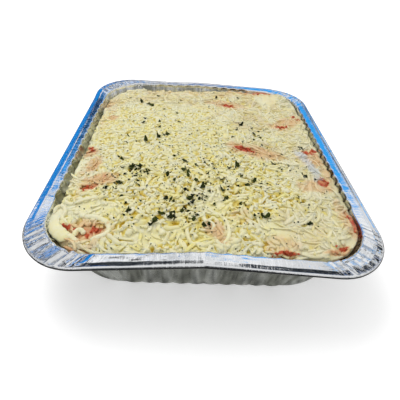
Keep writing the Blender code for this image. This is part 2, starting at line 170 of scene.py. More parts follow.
def turned(x, y, angle):
    """A place turned about the middle by an angle."""
    return x * np.cos(angle) - y * np.sin(angle), x * np.sin(angle) + y * np.cos(angle)


def write_mesh(name, points, loops, sizes, layers=None, uv=None):
    """Puts whole arrays into a mesh: points, the loops' corners and how many each face has."""
    mesh = bpy.data.meshes.new(name)
    mesh.vertices.add(len(points))
    mesh.vertices.foreach_set("co", np.asarray(points, np.float32).ravel())
    mesh.loops.add(len(loops))
    mesh.loops.foreach_set("vertex_index", np.asarray(loops, np.int32))
    starts = np.concatenate(([0], np.cumsum(sizes)[:-1])).astype(np.int32)
    mesh.polygons.add(len(sizes))
    mesh.polygons.foreach_set("loop_start", starts)
    mesh.polygons.foreach_set("loop_total", np.asarray(sizes, np.int32))
    for label, values in (layers or {}).items():
        layer = mesh.attributes.new(label, "FLOAT", "POINT")
        layer.data.foreach_set("value", np.asarray(values, np.float32).ravel())
    if uv is not None:
        sheet = mesh.uv_layers.new(name="UVMap")
        sheet.data.foreach_set("uv", np.asarray(uv, np.float32)[np.asarray(loops)].ravel())
    mesh.update(calc_edges=True)
    mesh.validate()
    mesh.shade_smooth()
    piece = bpy.data.objects.new(name, mesh)
    bpy.context.scene.collection.objects.link(piece)
    return piece


def grid_quads(rows, columns, closed=False):
    """The corners of the quads of a grid of points, row by row, joined up sideways if closed."""
    across = np.arange(columns if closed else columns - 1)
    after = (across + 1) % columns
    start = np.arange(rows - 1)[:, None] * columns
    quads = np.stack((start + across, start + after, start + columns + after, start + columns + across), -1)
    return quads.reshape(-1, 4)


def tube_faces(rings, around, number=1):
    """The loops and face sizes of tubes: rings joined by quads, with a flat face at each end."""
    quads = grid_quads(rings, around, closed=True)
    base = np.arange(number)[:, None] * rings * around
    end = np.arange(around)
    parts = (quads.ravel() + base, end[::-1] + base, end + (rings - 1) * around + base)
    loops = np.concatenate([part.ravel() for part in parts])
    return loops, np.concatenate((np.full(len(quads) * number, 4), np.full(2 * number, around)))


def finish_piece(piece, material, slot, *nodes):
    """Gives a piece its material, its place on the tray's body and the solids it stands for."""
    piece.data.materials.append(material)
    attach(piece, "root")
    if nodes:
        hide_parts(*nodes)


# Foil tray


def rim_rows():
    """The foil's profile from the curled edge in to the floor: inset, height and share of flute.

    A three-quarter circle for the bead, a groove, a crowned flange, a rounded mouth, a straight
    sloping wall, a quarter ellipse for the fillet and a flat floor.
    """
    bead = 0.0013
    turn = np.radians(np.linspace(-150, 90, 11))
    rows = [(bead - bead * np.cos(t), RIM_HEIGHT - bead + bead * np.sin(t), 0.0) for t in turn]
    for inset in np.concatenate((np.linspace(FLANGE_START, 0.0050, 5), np.linspace(RIDGE, FLANGE_END, 9))):
        outer = 0.0004 * (RIDGE - inset) / (RIDGE - FLANGE_START)
        inner = 0.0006 * (inset - RIDGE) / (FLANGE_END - RIDGE)
        crease = 0.0003 * math.exp(-((inset - RIDGE) / 0.0005) ** 2)
        groove = 0.0003 * math.exp(-((inset - 0.0029) / 0.0004) ** 2)
        rows.append((inset, RIM_HEIGHT + 0.0005 - max(outer, inner) + crease - groove, 0.0))
    for share in (0.3, 0.6, 0.85, 1.0):
        lean = math.radians(90) * share
        inset = FLANGE - 0.0012 + 0.0014 * math.sin(lean)
        rows.append((inset, RIM_HEIGHT - 0.0016 * (1 - math.cos(lean)), share))
    for share in np.linspace(0.04, 1.0, 13):
        height = MOUTH_HEIGHT + share * (WALL_LOW - MOUTH_HEIGHT)
        inset = FLANGE + 0.0002 + share * (WALL_LOW_INSET - FLANGE - 0.0002)
        rows.append((inset, height, 1.0 - 0.45 * share))
    for share in np.linspace(0.16, 1.0, 6):
        lean = math.radians(90) * share
        inset = WALL_LOW_INSET + (FLOOR_INSET - WALL_LOW_INSET) * math.sin(lean) ** 1.3
        height = 0.0003 + (WALL_LOW - 0.0003) * (1 - math.sin(lean)) ** 1.4
        rows.append((inset, height, 0.55 * (1 - share) ** 2))
    return np.array(rows)


def rim_plan(inset, corner_columns=90):
    """Plan points at an inset, with their way outwards, place along the side and corner share.

    Each straight keeps its flutes' places at every inset, and each corner is an arc.
    """
    half_x = RIM_WIDTH / 2 - inset
    half_y = RIM_LENGTH / 2 - inset
    radius = corner_radius(inset)
    sides = (
        (FLUTES_ACROSS, half_x - radius, half_y, (1, 0), (0, -1)),
        (FLUTES_ALONG, half_y - radius, half_x, (0, 1), (1, 0)),
        (FLUTES_ACROSS, half_x - radius, half_y, (-1, 0), (0, 1)),
        (FLUTES_ALONG, half_y - radius, half_x, (0, -1), (-1, 0)),
    )
    points, outwards, bulges, corners = [], [], [], []
    for flutes, reach, off, way, out in sides:
        way = np.array(way, float)
        out = np.array(out, float)
        span = min(flutes * FLUTE_PITCH / 2, 0.98 * reach)
        inner = np.linspace(-span, span, flutes * 10 + 1)
        ends = np.linspace(span, reach, 6)[1:]
        place = np.concatenate((-ends[::-1], inner, ends))
        points.append(place[:, None] * way + off * out)
        outwards.append(np.repeat(out[None], len(place), 0))
        bulges.append(fluting(place, span, 2 * span / flutes))
        corners.append(np.zeros(len(place)))
        turn = np.radians(90) * (np.arange(corner_columns) + 0.5) / corner_columns
        direction = np.cos(turn)[:, None] * out + np.sin(turn)[:, None] * way
        centre = reach * way + (off - radius) * out
        points.append(centre + radius * direction)
        outwards.append(direction)
        bulges.append(np.zeros(corner_columns))
        corners.append(np.sin(2 * turn) ** 0.5)
    return (np.concatenate(points), np.concatenate(outwards), np.concatenate(bulges),
            np.concatenate(corners))


def pleats(along, seed, periods=(0.0041, 0.0067, 0.0113)):
    """Sharp folds along the rim: a sum of triangle waves whose phase and height wander."""
    total = 0.0
    for k, period in enumerate(periods):
        phase = along / period + 0.8 * ripple(along, 0 * along, 0.02, seed + k)
        wave = 2 * np.abs(2 * (phase - np.floor(phase + 0.5))) - 1
        total = total + wave * (0.5 + 0.5 * ripple(along, 0 * along, 0.017, seed + 9 + k)) * (k + 1) ** 0.4
    return total / len(periods)


def build_tray(settings):
    """The foil as one sheet: profile rows by plan columns, bent, fluted and wrinkled, then thickened."""
    profile = rim_rows()
    plan = [rim_plan(inset) for inset in profile[:, 0]]
    count = len(plan[0][0])
    middle = rim_plan(0.006)[0]
    steps = np.linalg.norm(np.roll(middle, -1, 0) - middle, axis=1)
    along = np.concatenate(([0.0], np.cumsum(steps)[:-1]))
    across = np.concatenate(([0.0], np.cumsum(np.linalg.norm(np.diff(profile[:, :2], axis=0), axis=1))))
    corner = rim_plan(0.006)[3]
    near_corner = np.convolve(np.tile(corner, 3), np.hanning(41) / np.hanning(41).sum(), "same")
    near_corner = near_corner[count:2 * count] * np.where((middle[:, 0] < 0) & (middle[:, 1] < 0), 1.9, 0.85)
    folds = pleats(along, 3)
    fine_folds = pleats(along, 40, (0.0035, 0.0052, 0.0083))
    rows = []
    creased = []
    valleys = []
    for (inset, height, flute), (points, outwards, bulges, _) in zip(profile, plan):
        place = points + outwards * (settings.flute_depth * flute * bulges)[:, None]
        rise = bent_up(place[:, 0], place[:, 1], height)
        on_flange = eased(0.0, 0.0030, inset) * eased(0.0150, 0.0110, inset) * (height > 0.045)
        on_wall = eased(0.004, 0.030, height) * (inset > 0.0125)
        rise = rise + settings.wrinkle * folds * near_corner * on_flange * (0.6 + 30 * inset)
        rise = rise + 0.00030 * ripples(along, 0 * along + inset, 0.030, 71) * on_flange
        near_side = eased(-0.105, -0.135, place[:, 1])
        flatten = 0.0006 * np.clip((inset - RIDGE) / 0.0056, 0, 1)
        flatten = flatten + 0.0004 * np.clip((RIDGE - inset) / 0.0027, 0, 1)
        flatten = flatten - 0.0003 * math.exp(-((inset - RIDGE) / 0.0005) ** 2)
        rise = rise + near_side * flatten * on_flange
        rise = rise + 0.00012 * ripples(along, 0 * along + 3 * inset, 0.007, 75) * on_flange
        place = place + outwards * (0.8 * settings.wrinkle * fine_folds * near_corner * on_wall)[:, None]
        place = place + outwards * (0.0004 * ripples(along, 0 * along + height, 0.04, 81) * on_wall)[:, None]
        rows.append(np.column_stack((place, height + rise)))
        creased.append(np.maximum(near_corner, 0.22) * (inset < 0.0125) + 0.10 * (inset >= 0.0125))
        # Painted shade: how far each point lies in a flute's valley; the foil's colour darkens there, where
        # shade falls.
        valleys.append(flute * (1 - bulges) * (bulges > 0))
    for share in (0.75, 0.5, 0.25):
        rows.append(rows[len(profile) - 1] * (share, share, 1.0))
        creased.append(np.full(count, 0.10))
        valleys.append(np.zeros(count))
        across = np.append(across, across[-1] + 0.03)
    points = np.concatenate(rows + [np.array([[0.0, 0.0, rows[-1][:, 2].mean()]])])
    total = len(rows)
    quads = grid_quads(total, count, closed=True)
    last = (total - 1) * count
    fan = np.column_stack((last + np.arange(count), last + (np.arange(count) + 1) % count,
                           np.full(count, total * count)))
    loops = np.concatenate((quads[:, ::-1].ravel(), fan[:, ::-1].ravel()))
    sizes = np.concatenate((np.full(len(quads), 4), np.full(count, 3)))
    uv = np.column_stack((np.tile(along, total), np.repeat(across[:total], count)))
    uv = np.vstack((uv, [[0.5, across[-1] + 0.05]]))
    creased = np.append(np.concatenate(creased), 0.10)
    valleys = np.append(np.concatenate(valleys), 0.0)
    layers = {"creased": creased, "valley_shade": valleys}
    piece = write_mesh("tray_foil", points, loops, sizes, layers, uv)
    thicken = piece.modifiers.new("foil", "SOLIDIFY")
    thicken.thickness = settings.foil_thickness
    thicken.offset = -1.0
    return piece


# Food


def outline_scale(u, v, inset):
    """A point of the square from -1 to 1 carried onto the rounded rectangle at an inset.

    Each square ring becomes a rounded rectangle: its straights stay, its corners run round arcs.
    """
    ring = np.maximum(np.abs(u), np.abs(v))
    safe = np.maximum(ring, 1e-9)
    half_x = RIM_WIDTH / 2 - inset
    half_y = RIM_LENGTH / 2 - inset
    radius = corner_radius(inset)
    x = u / safe * half_x
    y = v / safe * half_y
    over_x = np.abs(x) - (half_x - radius)
    over_y = np.abs(y) - (half_y - radius)
    turn = math.pi / 4 * (1 + (over_y - over_x) / radius)
    in_corner = (over_x > 0) & (over_y > 0)
    x = np.where(in_corner, np.sign(x) * (half_x - radius + radius * np.cos(turn)), x)
    y = np.where(in_corner, np.sign(y) * (half_y - radius + radius * np.sin(turn)), y)
    return x * ring, y * ring, ring


def mound(x, y):
    """The food's broad shape: a low mound whose edge is lower at the left and at the far end."""
    outwards = np.minimum(1.0, ((np.abs(x) / 0.1175) ** 4 + (np.abs(y) / 0.1475) ** 4) ** 0.25)
    edge = 0.0458 + 0.0006 * x / 0.132 - 0.0008 * y / 0.162 + 0.0032 * eased(0.05, 0.115, x)
    edge = edge + (0.0026 + 0.0030 * eased(-0.05, 0.03, x)) * eased(0.09, 0.14, y)
    return edge + (0.0530 - edge) * (1 - outwards**2.2)


def food_top(x, y):
    """The heap's intended top: the mound with broad lumps and smaller ones."""
    return mound(x, y) + 0.0011 * ripple(x, y, 0.034, 5) + 0.0016 * ripples(x, y, 0.011, 8, 2)


def ellipse_reach(x, y, middle, half, turn):
    """The squared reach of a place from an ellipse's middle: 1 on its edge, roughened by noise."""
    angle = math.radians(turn)
    off_x = x - middle[0]
    off_y = y - middle[1]
    along = off_x * math.cos(angle) + off_y * math.sin(angle)
    side = off_y * math.cos(angle) - off_x * math.sin(angle)
    reach = (along / half[0]) ** 2 + (side / half[1]) ** 2
    return reach * (1 + 0.45 * ripples(x, y, 0.009, 31, 2))


def covered(x, y, places, grow=1.0, soft=0.35):
    """How much a place lies in any of the ellipses, from 0 to 1 with eased edges."""
    most = np.zeros(np.shape(x))
    for middle, half, turn in places:
        size = (half[0] * grow, half[1] * grow)
        most = np.maximum(most, eased(1 + soft, 1 - soft, ellipse_reach(x, y, middle, size, turn)))
    return most


# Smooth slabs of cheese, places where it has melted, and edges where the sauce has come up.
SLABS = ellipses(
    (40, -905, 95, 110, 20), (-920, -990, 230, 80, -4), (-415, -1262, 125, 80, 10),
    (-205, -1225, 48, 55, 0), (560, -1190, 130, 105, -25), (1020, 580, 60, 100, 20),
    (820, 1180, 200, 130, -10),
)
MELTED = ellipses(
    (1020, -400, 240, 780, 0), (920, -1200, 360, 300, -12), (700, 850, 600, 640, 0),
    (500, 1350, 700, 180, 0), (650, -80, 400, 200, -20), (120, -1250, 90, 90, 0),
    (-1000, 1100, 200, 300, 0), (-300, 1200, 900, 330, 0),
)
SAUCE_EDGES = ellipses(
    (560, -1432, 180, 14, -2), (1010, -1365, 110, 18, 14), (1165, -1080, 35, 160, 8),
    (-900, -1410, 300, 45, -4), (700, 1445, 300, 30, 0),
)

# Where sauce tints the cheese: middle, half sizes, turn in degrees and strength.
STAINS = ellipses(
    (300, 1010, 95, 55, -25, 1.0), (270, 1050, 250, 120, -15, 0.5), (770, 1430, 130, 35, 0, 1.0),
    (600, 1420, 280, 45, 0, 0.6), (885, 505, 85, 34, 10, 1.0), (950, 570, 240, 95, 32, 0.5),
    (1090, 750, 50, 42, 0, 1.0), (1140, 740, 30, 35, 0, 0.9), (410, -80, 125, 50, -12, 1.0),
    (500, -110, 280, 115, -12, 0.55), (1070, -15, 85, 40, 0, 1.0), (1060, -130, 140, 170, -10, 0.52),
    (1140, -360, 60, 150, 0, 0.45), (1140, 50, 35, 35, 0, 1.0), (1060, -550, 50, 60, 0, 1.0),
    (970, -640, 165, 95, 0, 0.5), (1150, -1040, 45, 80, 8, 1.0), (1165, -1140, 30, 90, 8, 1.0),
    (1120, -1050, 80, 230, 8, 0.45), (990, -1335, 50, 18, 20, 1.0), (930, -1375, 120, 22, 12, 0.66),
    (550, -1408, 100, 14, 0, 1.0), (530, -1330, 150, 85, 0, 0.36), (50, -1190, 85, 85, 0, 0.5),
    (110, -1300, 45, 45, 0, 0.5), (260, -1060, 90, 80, 0, 0.3), (-900, -640, 160, 85, 15, 0.6),
    (-1020, -560, 120, 300, 0, 0.3), (200, 1360, 1000, 120, 0, 0.24), (-1080, 700, 80, 500, 0, 0.26),
    (-975, -740, 80, 38, 15, 1.0), (-1000, -400, 65, 140, -10, 0.6), (-1090, -115, 80, 26, -50, 1.0),
    (-1080, -180, 75, 80, 0, 0.6), (-1010, 560, 80, 60, 0, 0.6), (-1130, 970, 50, 150, 0, 0.45),
    (-900, -1240, 200, 110, 5, 0.62), (-900, -1370, 150, 60, 0, 0.34), (-1030, -1195, 60, 25, 5, 1.0),
    (-880, -1255, 55, 24, -50, 1.0), (-815, -1225, 60, 36, 20, 1.0), (-1144, -1029, 30, 30, 0, 0.9),
)

# Where a pale blue-grey sheen is painted over the cheese, a painted reflection of the room on a wet layer:
# middle, half sizes and turn.
FILM_SHEENS = ellipses(
    (975, -120, 55, 150, 12), (1020, -340, 50, 150, 5), (1020, -520, 45, 80, -5),
)


def open_share(x, y, over_gaps=1.0, over_edges=1.0):
    """How far a place lies in a gap of the cheese or where sauce has come up at its edge."""
    return np.maximum(covered(x, y, SAUCE_GAPS, over_gaps), covered(x, y, SAUCE_EDGES, over_edges))


def stained(x, y):
    """How strongly sauce tints a place, from 0 to 1: the strongest stain there, softened."""
    most = np.zeros(np.shape(x))
    for middle, half, turn, strength in STAINS:
        most = np.maximum(most, strength * eased(1.9, 0.25, ellipse_reach(x, y, middle, half, turn)))
    return most


def food_sheet(name, columns, rows, inset, height, skirt, layers, flutes=0.0):
    """A closed slab with an uneven top: a mapped square grid, a skirt and a flat underside.

    height(x, y) gives the top; skirt holds the insets and heights of the rings below its edge;
    layers(x, y, z) gives the named values stored at its points.
    """
    u, v = np.meshgrid(np.linspace(-1, 1, columns), np.linspace(-1, 1, rows))
    x, y, ring = outline_scale(u, v, inset)
    pitch = 2 * FOOD_SPAN_ALONG / FLUTES_ALONG
    bulge_x = flutes * fluting(y, FOOD_SPAN_ALONG, pitch) * (np.abs(u) >= np.abs(v))
    bulge_y = flutes * fluting(x, 0.060, FLUTE_PITCH) * (np.abs(v) > np.abs(u))
    x = x + np.sign(x) * (bulge_x * ring**60 - CORNER_LEAN * corner_rise(x, y) * ring**8)
    x = x + np.where(x > 0, 0.0008, 0.0003) * ring**60 * (np.abs(x) > 0.09)
    y = y + np.sign(y) * (bulge_y * ring**60 - bent_in(x, y) * ring**8)
    z = height(x, y)
    top = np.column_stack((x.ravel(), y.ravel(), z.ravel()))
    edge = np.concatenate((
        np.arange(columns - 1),
        columns - 1 + columns * np.arange(rows - 1),
        rows * columns - 1 - np.arange(columns - 1),
        columns * (rows - 1 - np.arange(rows - 1)),
    ))
    points = [top]
    quads = [grid_quads(rows, columns)]
    above = edge
    start = len(top)
    for ring_inset, ring_height in skirt:
        ring_x, ring_y, _ = outline_scale(u.ravel()[edge], v.ravel()[edge], ring_inset)
        ring_x = ring_x - np.sign(ring_x) * CORNER_LEAN * corner_rise(ring_x, ring_y)
        ring_y = ring_y - np.sign(ring_y) * bent_in(ring_x, ring_y)
        points.append(np.column_stack((ring_x, ring_y, np.full(len(edge), ring_height))))
        below = start + np.arange(len(edge))
        quads.append(np.column_stack((above, below, np.roll(below, -1), np.roll(above, -1))))
        above = below
        start += len(edge)
    quads = np.concatenate(quads)
    loops = np.concatenate((quads.ravel(), above[::-1]))
    sizes = np.concatenate((np.full(len(quads), 4), [len(edge)]))
    points = np.vstack(points)
    return write_mesh(name, points, loops, sizes, layers(*points.T))


def sauce_height(x, y):
    """The pasta and sauce: well under the cheese, but rising in its gaps and along some edges."""
    shown = open_share(x, y, 1.35, 1.2)
    lumps = 0.0010 * ripples(x, y, 0.0060, 51) + 0.0012 * ripple(x, y, 0.0120, 55)
    return food_top(x, y) - 0.0052 + shown * (0.0036 + lumps)


def bed_height(x, y):
    """The cheese under its loose strands: low in the gaps, and full height where it is a slab."""
    gap = open_share(x, y)
    slab = covered(x, y, SLABS, 1.0, 0.45)
    streaks = 0.0008 * ripples(x + 0.4 * y, 5 * y - x, 0.0060, 61, 2)
    height = food_top(x, y) - 0.0034 + 0.0012 * melted(x, y) + (0.0040 + streaks) * slab * (1 - gap)
    return height - 0.0060 * gap


def sauce_layers(x, y, z):
    """How red the sauce is at each point, and how deep it lies below the food's top, which darkens its colour
    as painted shade.
    """
    red = 0.25 + 0.30 * ripples(x, y, 0.010, 91) + 0.6 * eased(0.6, 1.0, stained(x, y))
    return {"redness": np.clip(red, 0, 1), "depth": np.clip((food_top(x, y) - z) / 0.009, 0, 1)}


class Heap:
    """The heap's height and tone on a square map, raised as each strand comes to rest on it."""

    cell = 0.0005

    def __init__(self):
        self.columns = int(RIM_WIDTH / self.cell) + 2
        self.rows = int(RIM_LENGTH / self.cell) + 2
        x = -RIM_WIDTH / 2 + self.cell * np.arange(self.columns)
        y = -RIM_LENGTH / 2 + self.cell * np.arange(self.rows)
        self.x, self.y = np.meshgrid(x, y)
        self.heights = np.maximum(bed_height(self.x, self.y), sauce_height(self.x, self.y))
        self.tones = np.clip(0.45 + 0.3 * ripples(self.x, self.y, 0.010, 95), 0, 1)
        self.tones = np.maximum(self.tones, 0.50 * covered(self.x, self.y, SLABS))

    def index(self, x, y):
        """The rows and columns of the cells under given places."""
        i = np.clip(((x + RIM_WIDTH / 2) / self.cell).round().astype(int), 0, self.columns - 1)
        j = np.clip(((y + RIM_LENGTH / 2) / self.cell).round().astype(int), 0, self.rows - 1)
        return j, i

    def at(self, x, y):
        """The heights at given places."""
        return self.heights[self.index(x, y)]

    def between(self, values, x, y):
        """Values of the map at given places, blended between the four cells around each."""
        j = np.clip((y + RIM_LENGTH / 2) / self.cell, 0, self.rows - 1.001)
        i = np.clip((x + RIM_WIDTH / 2) / self.cell, 0, self.columns - 1.001)
        row, column = j.astype(int), i.astype(int)
        a, b = i - column, j - row
        near = values[row, column] * (1 - a) + values[row, column + 1] * a
        far = values[row + 1, column] * (1 - a) + values[row + 1, column + 1] * a
        return near * (1 - b) + far * b

    def settle(self):
        """Lets the heap slump: softened a little everywhere, and a great deal where it has melted."""
        melt = melted(self.x, self.y)
        light = softened(self.heights, 2)
        soft = softened(light, 12)
        broad = softened(soft, 60)
        self.mean = broad
        share = 0.16 + 0.84 * melt
        curds = 0.0005 * ripples(self.x, self.y, 0.0030, 67, 2) * (1 - 0.6 * melt)
        curds = curds - 0.0003 * eased(-0.04, -0.11, self.y) * (1 - melt)
        gap = open_share(self.x, self.y)
        edge = 0.0008 * eased(-0.08, -0.11, self.x) * (1 - eased(0.0010, 0.0060, wall_gap(self.x, self.y)))
        edge = edge * eased(0.020, -0.010, self.y) * eased(-0.100, -0.085, self.y)
        self.slumped = light * (1 - share) + soft * share - 0.0002 + curds - 0.0035 * gap - edge

    def filled(self, x, y):
        """The cheese's surface at given places."""
        return self.between(self.slumped, x, y)

    def layers(self, x, y, z):
        """The named values of the cheese at given points: depth, the mask of painted shade below the heap's
        smoothed top; tone, melt, stain; and film, the mask of a pale painted sheen.
        """
        # Painted shade: depth grows as a point lies below the smoothed heap, less on slabs, on melted cheese
        # and near the wall; the colour darkens with it.
        deep = np.clip((self.between(self.mean, x, y) + 0.0002 - z) / 0.0016, 0, 1)
        off_wall = eased(0.0015, 0.0080, wall_gap(x, y))
        return {
            "depth": deep * (1 - covered(x, y, SLABS, 1.3)) * (1 - 0.5 * melted(x, y)) * off_wall,
            "tone": self.between(self.tones, x, y),
            "melt": melted(x, y),
            "stain": stained(x, y),
            "film_sheen": covered(x, y, FILM_SHEENS, 1.0, 0.6),
        }


def softened(values, passes):
    """A map after passes of averaging with its neighbours, weighted 1, 2, 1 each way."""
    soft = values.copy()
    for _ in range(passes):
        soft[1:-1] = (soft[:-2] + 2 * soft[1:-1] + soft[2:]) / 4
        soft[:, 1:-1] = (soft[:, :-2] + 2 * soft[:, 1:-1] + soft[:, 2:]) / 4
    return soft


def wall_gap(x, y):
    """How far a place is from the wall, at the height of the food's edge."""
    half_x = RIM_WIDTH / 2 - FOOD_EDGE
    half_y = RIM_LENGTH / 2 - FOOD_EDGE
    over_x = np.maximum(np.abs(x) - (half_x - MOUTH_CORNER), 0)
    over_y = np.maximum(np.abs(y) - (half_y - MOUTH_CORNER), 0)
    straight = np.minimum(half_x - np.abs(x), half_y - np.abs(y))
    return np.where((over_x > 0) & (over_y > 0), MOUTH_CORNER - np.hypot(over_x, over_y), straight)


def melted(x, y):
    """How far the cheese has melted at a place, from 0 to 1."""
    return covered(x, y, MELTED, 1.0, 0.6)


def arc_points(middle, heading, length, bend, share):
    """Points along arcs that turn by bend radians over their length, for shares from -0.5 to 0.5."""
    bend = np.where(np.abs(bend) < 1e-3, 1e-3, bend)[..., None]
    radius = length[..., None] / bend
    along = radius * np.sin(bend * share)
    side = radius * (1 - np.cos(bend * share))
    cos = np.cos(heading)[..., None]
    sin = np.sin(heading)[..., None]
    x = middle[..., 0:1] + along * cos - side * sin
    y = middle[..., 1:2] + along * sin + side * cos
    return x, y, heading[..., None] + bend * share


def well_inside(x, y, margin):
    """Whether places lie inside the tray's mouth by a margin: a rounded rectangle's test."""
    half_x = RIM_WIDTH / 2 - FOOD_EDGE - margin
    half_y = RIM_LENGTH / 2 - FOOD_EDGE - margin
    radius = MOUTH_CORNER - margin
    over_x = np.maximum(np.abs(x) - (half_x - radius), 0)
    over_y = np.maximum(np.abs(y) - (half_y - radius), 0)
    return np.hypot(over_x, over_y) < radius


def drop_strands(heap, draw, count, lengths, widths, bend, density, over=0.0006):
    """Drops strands one after another onto the heap, each where the heap still lacks height.

    A strand rests on the heights under it, eased along its length, and raises the map to its own
    rounded top. Each found row holds the path's x, y, z and heading, then width, height and tone.
    """
    share = np.linspace(-0.5, 0.5, PATH_STEPS)
    steps = np.arange(PATH_STEPS)
    fine = np.linspace(0, PATH_STEPS - 1, 30)
    offs = np.linspace(-0.92, 0.92, 7)[:, None]
    taper = np.interp(fine, (0, 0.8, 6.2, 7), (0.55, 1.0, 1.0, 0.55))
    crown = 0.5 * np.sqrt(1 - offs**2) * taper
    found = []
    tries = 0
    while len(found) < count and tries < count * 16:
        lot = 800
        tries += lot
        middle = np.column_stack((draw.uniform(-0.118, 0.118, lot), draw.uniform(-0.148, 0.148, lot)))
        middle = middle[draw.uniform(0, 1, lot) < density(middle[:, 0], middle[:, 1])]
        number = len(middle)
        size = np.interp(middle[:, 1], (-0.15, -0.09, 0.0, 0.15), (1.28, 1.12, 0.95, 0.85))
        length = draw.uniform(*lengths, number) * size
        width = draw.uniform(*widths, number) * size
        heading = draw.uniform(0, 2 * math.pi, number)
        curve = draw.normal(0, bend, number)
        tone = np.clip(draw.normal(0.42, 0.26, number), 0, 1)
        flat = draw.uniform(0.34, 0.62, number)
        phase = draw.uniform(0, 2 * math.pi, number)[:, None]
        kink = draw.normal(0, 0.045, number)[:, None] * length[:, None] * np.sin(4.0 * share + phase)
        x, y, turn = arc_points(middle, heading, length, curve, share)
        x = x - np.sin(turn) * kink
        y = y + np.cos(turn) * kink
        turn = turn + np.gradient(kink, axis=1) * (PATH_STEPS - 1) / length[:, None]
        inside = well_inside(x, y, width[:, None] * 0.6).all(1)
        lack = food_top(x, y).mean(1) + over
        for k in np.flatnonzero(inside):
            under = heap.heights[heap.index(x[k], y[k])]
            if under.mean() > lack[k]:
                continue
            eased_under = np.convolve(np.pad(under, 2, "edge"), (0.1, 0.2, 0.4, 0.2, 0.1), "valid")
            rest = 0.6 * eased_under + 0.4 * under.mean()
            thick = width[k] * flat[k]
            path_x = np.interp(fine, steps, x[k])
            path_y = np.interp(fine, steps, y[k])
            path_turn = np.interp(fine, steps, turn[k])
            path_z = np.interp(fine, steps, rest) + 0.32 * thick
            side = offs * width[k] * 0.5
            cells = heap.index(path_x - np.sin(path_turn) * side, path_y + np.cos(path_turn) * side)
            top = path_z + crown * thick
            higher = top > heap.heights[cells]
            cells = (cells[0][higher], cells[1][higher])
            heap.heights[cells] = top[higher]
            heap.tones[cells] = tone[k]
            row = (x[k], y[k], rest + 0.32 * thick, turn[k], [width[k], thick, tone[k]])
            found.append(np.concatenate(row))
            if len(found) == count:
                break
    return np.array(found)


def strand_mesh(name, found, heap, draw, sides=6):
    """Flat six-sided prisms along the strands' paths: a ring at each step, smaller at the ends."""
    number = len(found)
    steps = PATH_STEPS
    x, y, z, turn = (found[:, k * steps:(k + 1) * steps] for k in range(4))
    width = found[:, -3][:, None, None]
    thick = found[:, -2][:, None, None]
    around = np.linspace(0, 2 * math.pi, sides, endpoint=False)
    reach = np.sign(np.cos(around)) * np.abs(np.cos(around)) ** 0.45
    twist = draw.normal(0, 0.45, (number, 1, 1)) * np.linspace(-1, 1, steps)[:, None]
    roll = draw.normal(0, 0.35, (number, 1, 1)) + twist
    ends = np.array([0.78, 1.0, 1.02, 1.0, 1.0, 1.02, 1.0, 0.78])[None, :, None]
    uneven = 1 + 0.13 * draw.normal(0, 1, (number, steps, 1))
    flat_side = reach * width * 0.5 * ends * uneven
    flat_up = np.sin(around) * thick * 0.5 * ends * uneven
    side, up = turned(flat_side, flat_up, roll)
    px = x[..., None] - np.sin(turn)[..., None] * side
    py = y[..., None] + np.cos(turn)[..., None] * side
    pz = z[..., None] + up
    points = np.stack((px, py, pz), -1).reshape(-1, 3)
    loops, sizes = tube_faces(steps, sides, number)
    layers = heap.layers(*points.T)
    layers["tone"] = np.repeat(found[:, -1], steps * sides)
    return write_mesh(name, points, loops, sizes, layers)


def strand_density(x, y):
    """How thickly strands fall: none in the gaps, few on slabs, stains and where cheese has melted."""
    gap = open_share(x, y, 1.1, 1.1)
    bare = np.maximum(0.76 * covered(x, y, SLABS), 0.86 * melted(x, y))
    bare = np.maximum(bare, eased(0.30, 0.75, stained(x, y)))
    return (1 - 0.97 * gap) * (1 - bare)


def ribbon_mesh(name, path, width, thick, roll, sides=10):
    """A rounded strip carried along a path: an ellipse's ring at each point, turned by roll.

    The path's points are eased by a Catmull-Rom curve; each ring stands square to the path.
    """
    keys = np.asarray(path, float)
    padded = np.vstack((2 * keys[0] - keys[1], keys, 2 * keys[-1] - keys[-2]))
    t = np.linspace(0, len(keys) - 1 - 1e-6, 12 * (len(keys) - 1))
    k = t.astype(int)
    f = (t - k)[:, None]
    a, b, c, d = (padded[k + n] for n in range(4))
    spine = 0.5 * (2 * b + (c - a) * f + (2 * a - 5 * b + 4 * c - d) * f**2 + (3 * b - a - 3 * c + d) * f**3)
    forward = np.gradient(spine[:, :3], axis=0)
    forward /= np.linalg.norm(forward, axis=1)[:, None]
    side = np.cross((0, 0, 1), forward)
    side /= np.linalg.norm(side, axis=1)[:, None]
    up = np.cross(forward, side)
    share = np.linspace(0, 1, len(t))
    swell = np.clip(np.minimum(share, 1 - share) / 0.08, 0.12, 1) ** 0.5
    lean = np.interp(share, np.linspace(0, 1, len(roll)), roll)[:, None]
    around = np.linspace(0, 2 * math.pi, sides, endpoint=False)
    uneven = 1 + 0.10 * ripple(share * 0.1, 0 * share, 0.007, len(keys) + 3)[:, None]
    flat = np.cos(around) * 0.5 * width * swell[:, None] * uneven
    rise = np.sin(around) * 0.5 * thick * swell[:, None] * uneven
    flat, rise = turned(flat, rise, lean)
    points = spine[:, None, :3] + side[:, None] * flat[..., None] + up[:, None] * rise[..., None]
    points = points.reshape(-1, 3)
    loops, sizes = tube_faces(len(t), sides)
    zeros = np.zeros(len(points))
    layers = {"depth": zeros, "tone": zeros + 0.25, "melt": zeros, "stain": zeros, "film_sheen": zeros}
    return write_mesh(name, points, loops, sizes, layers)


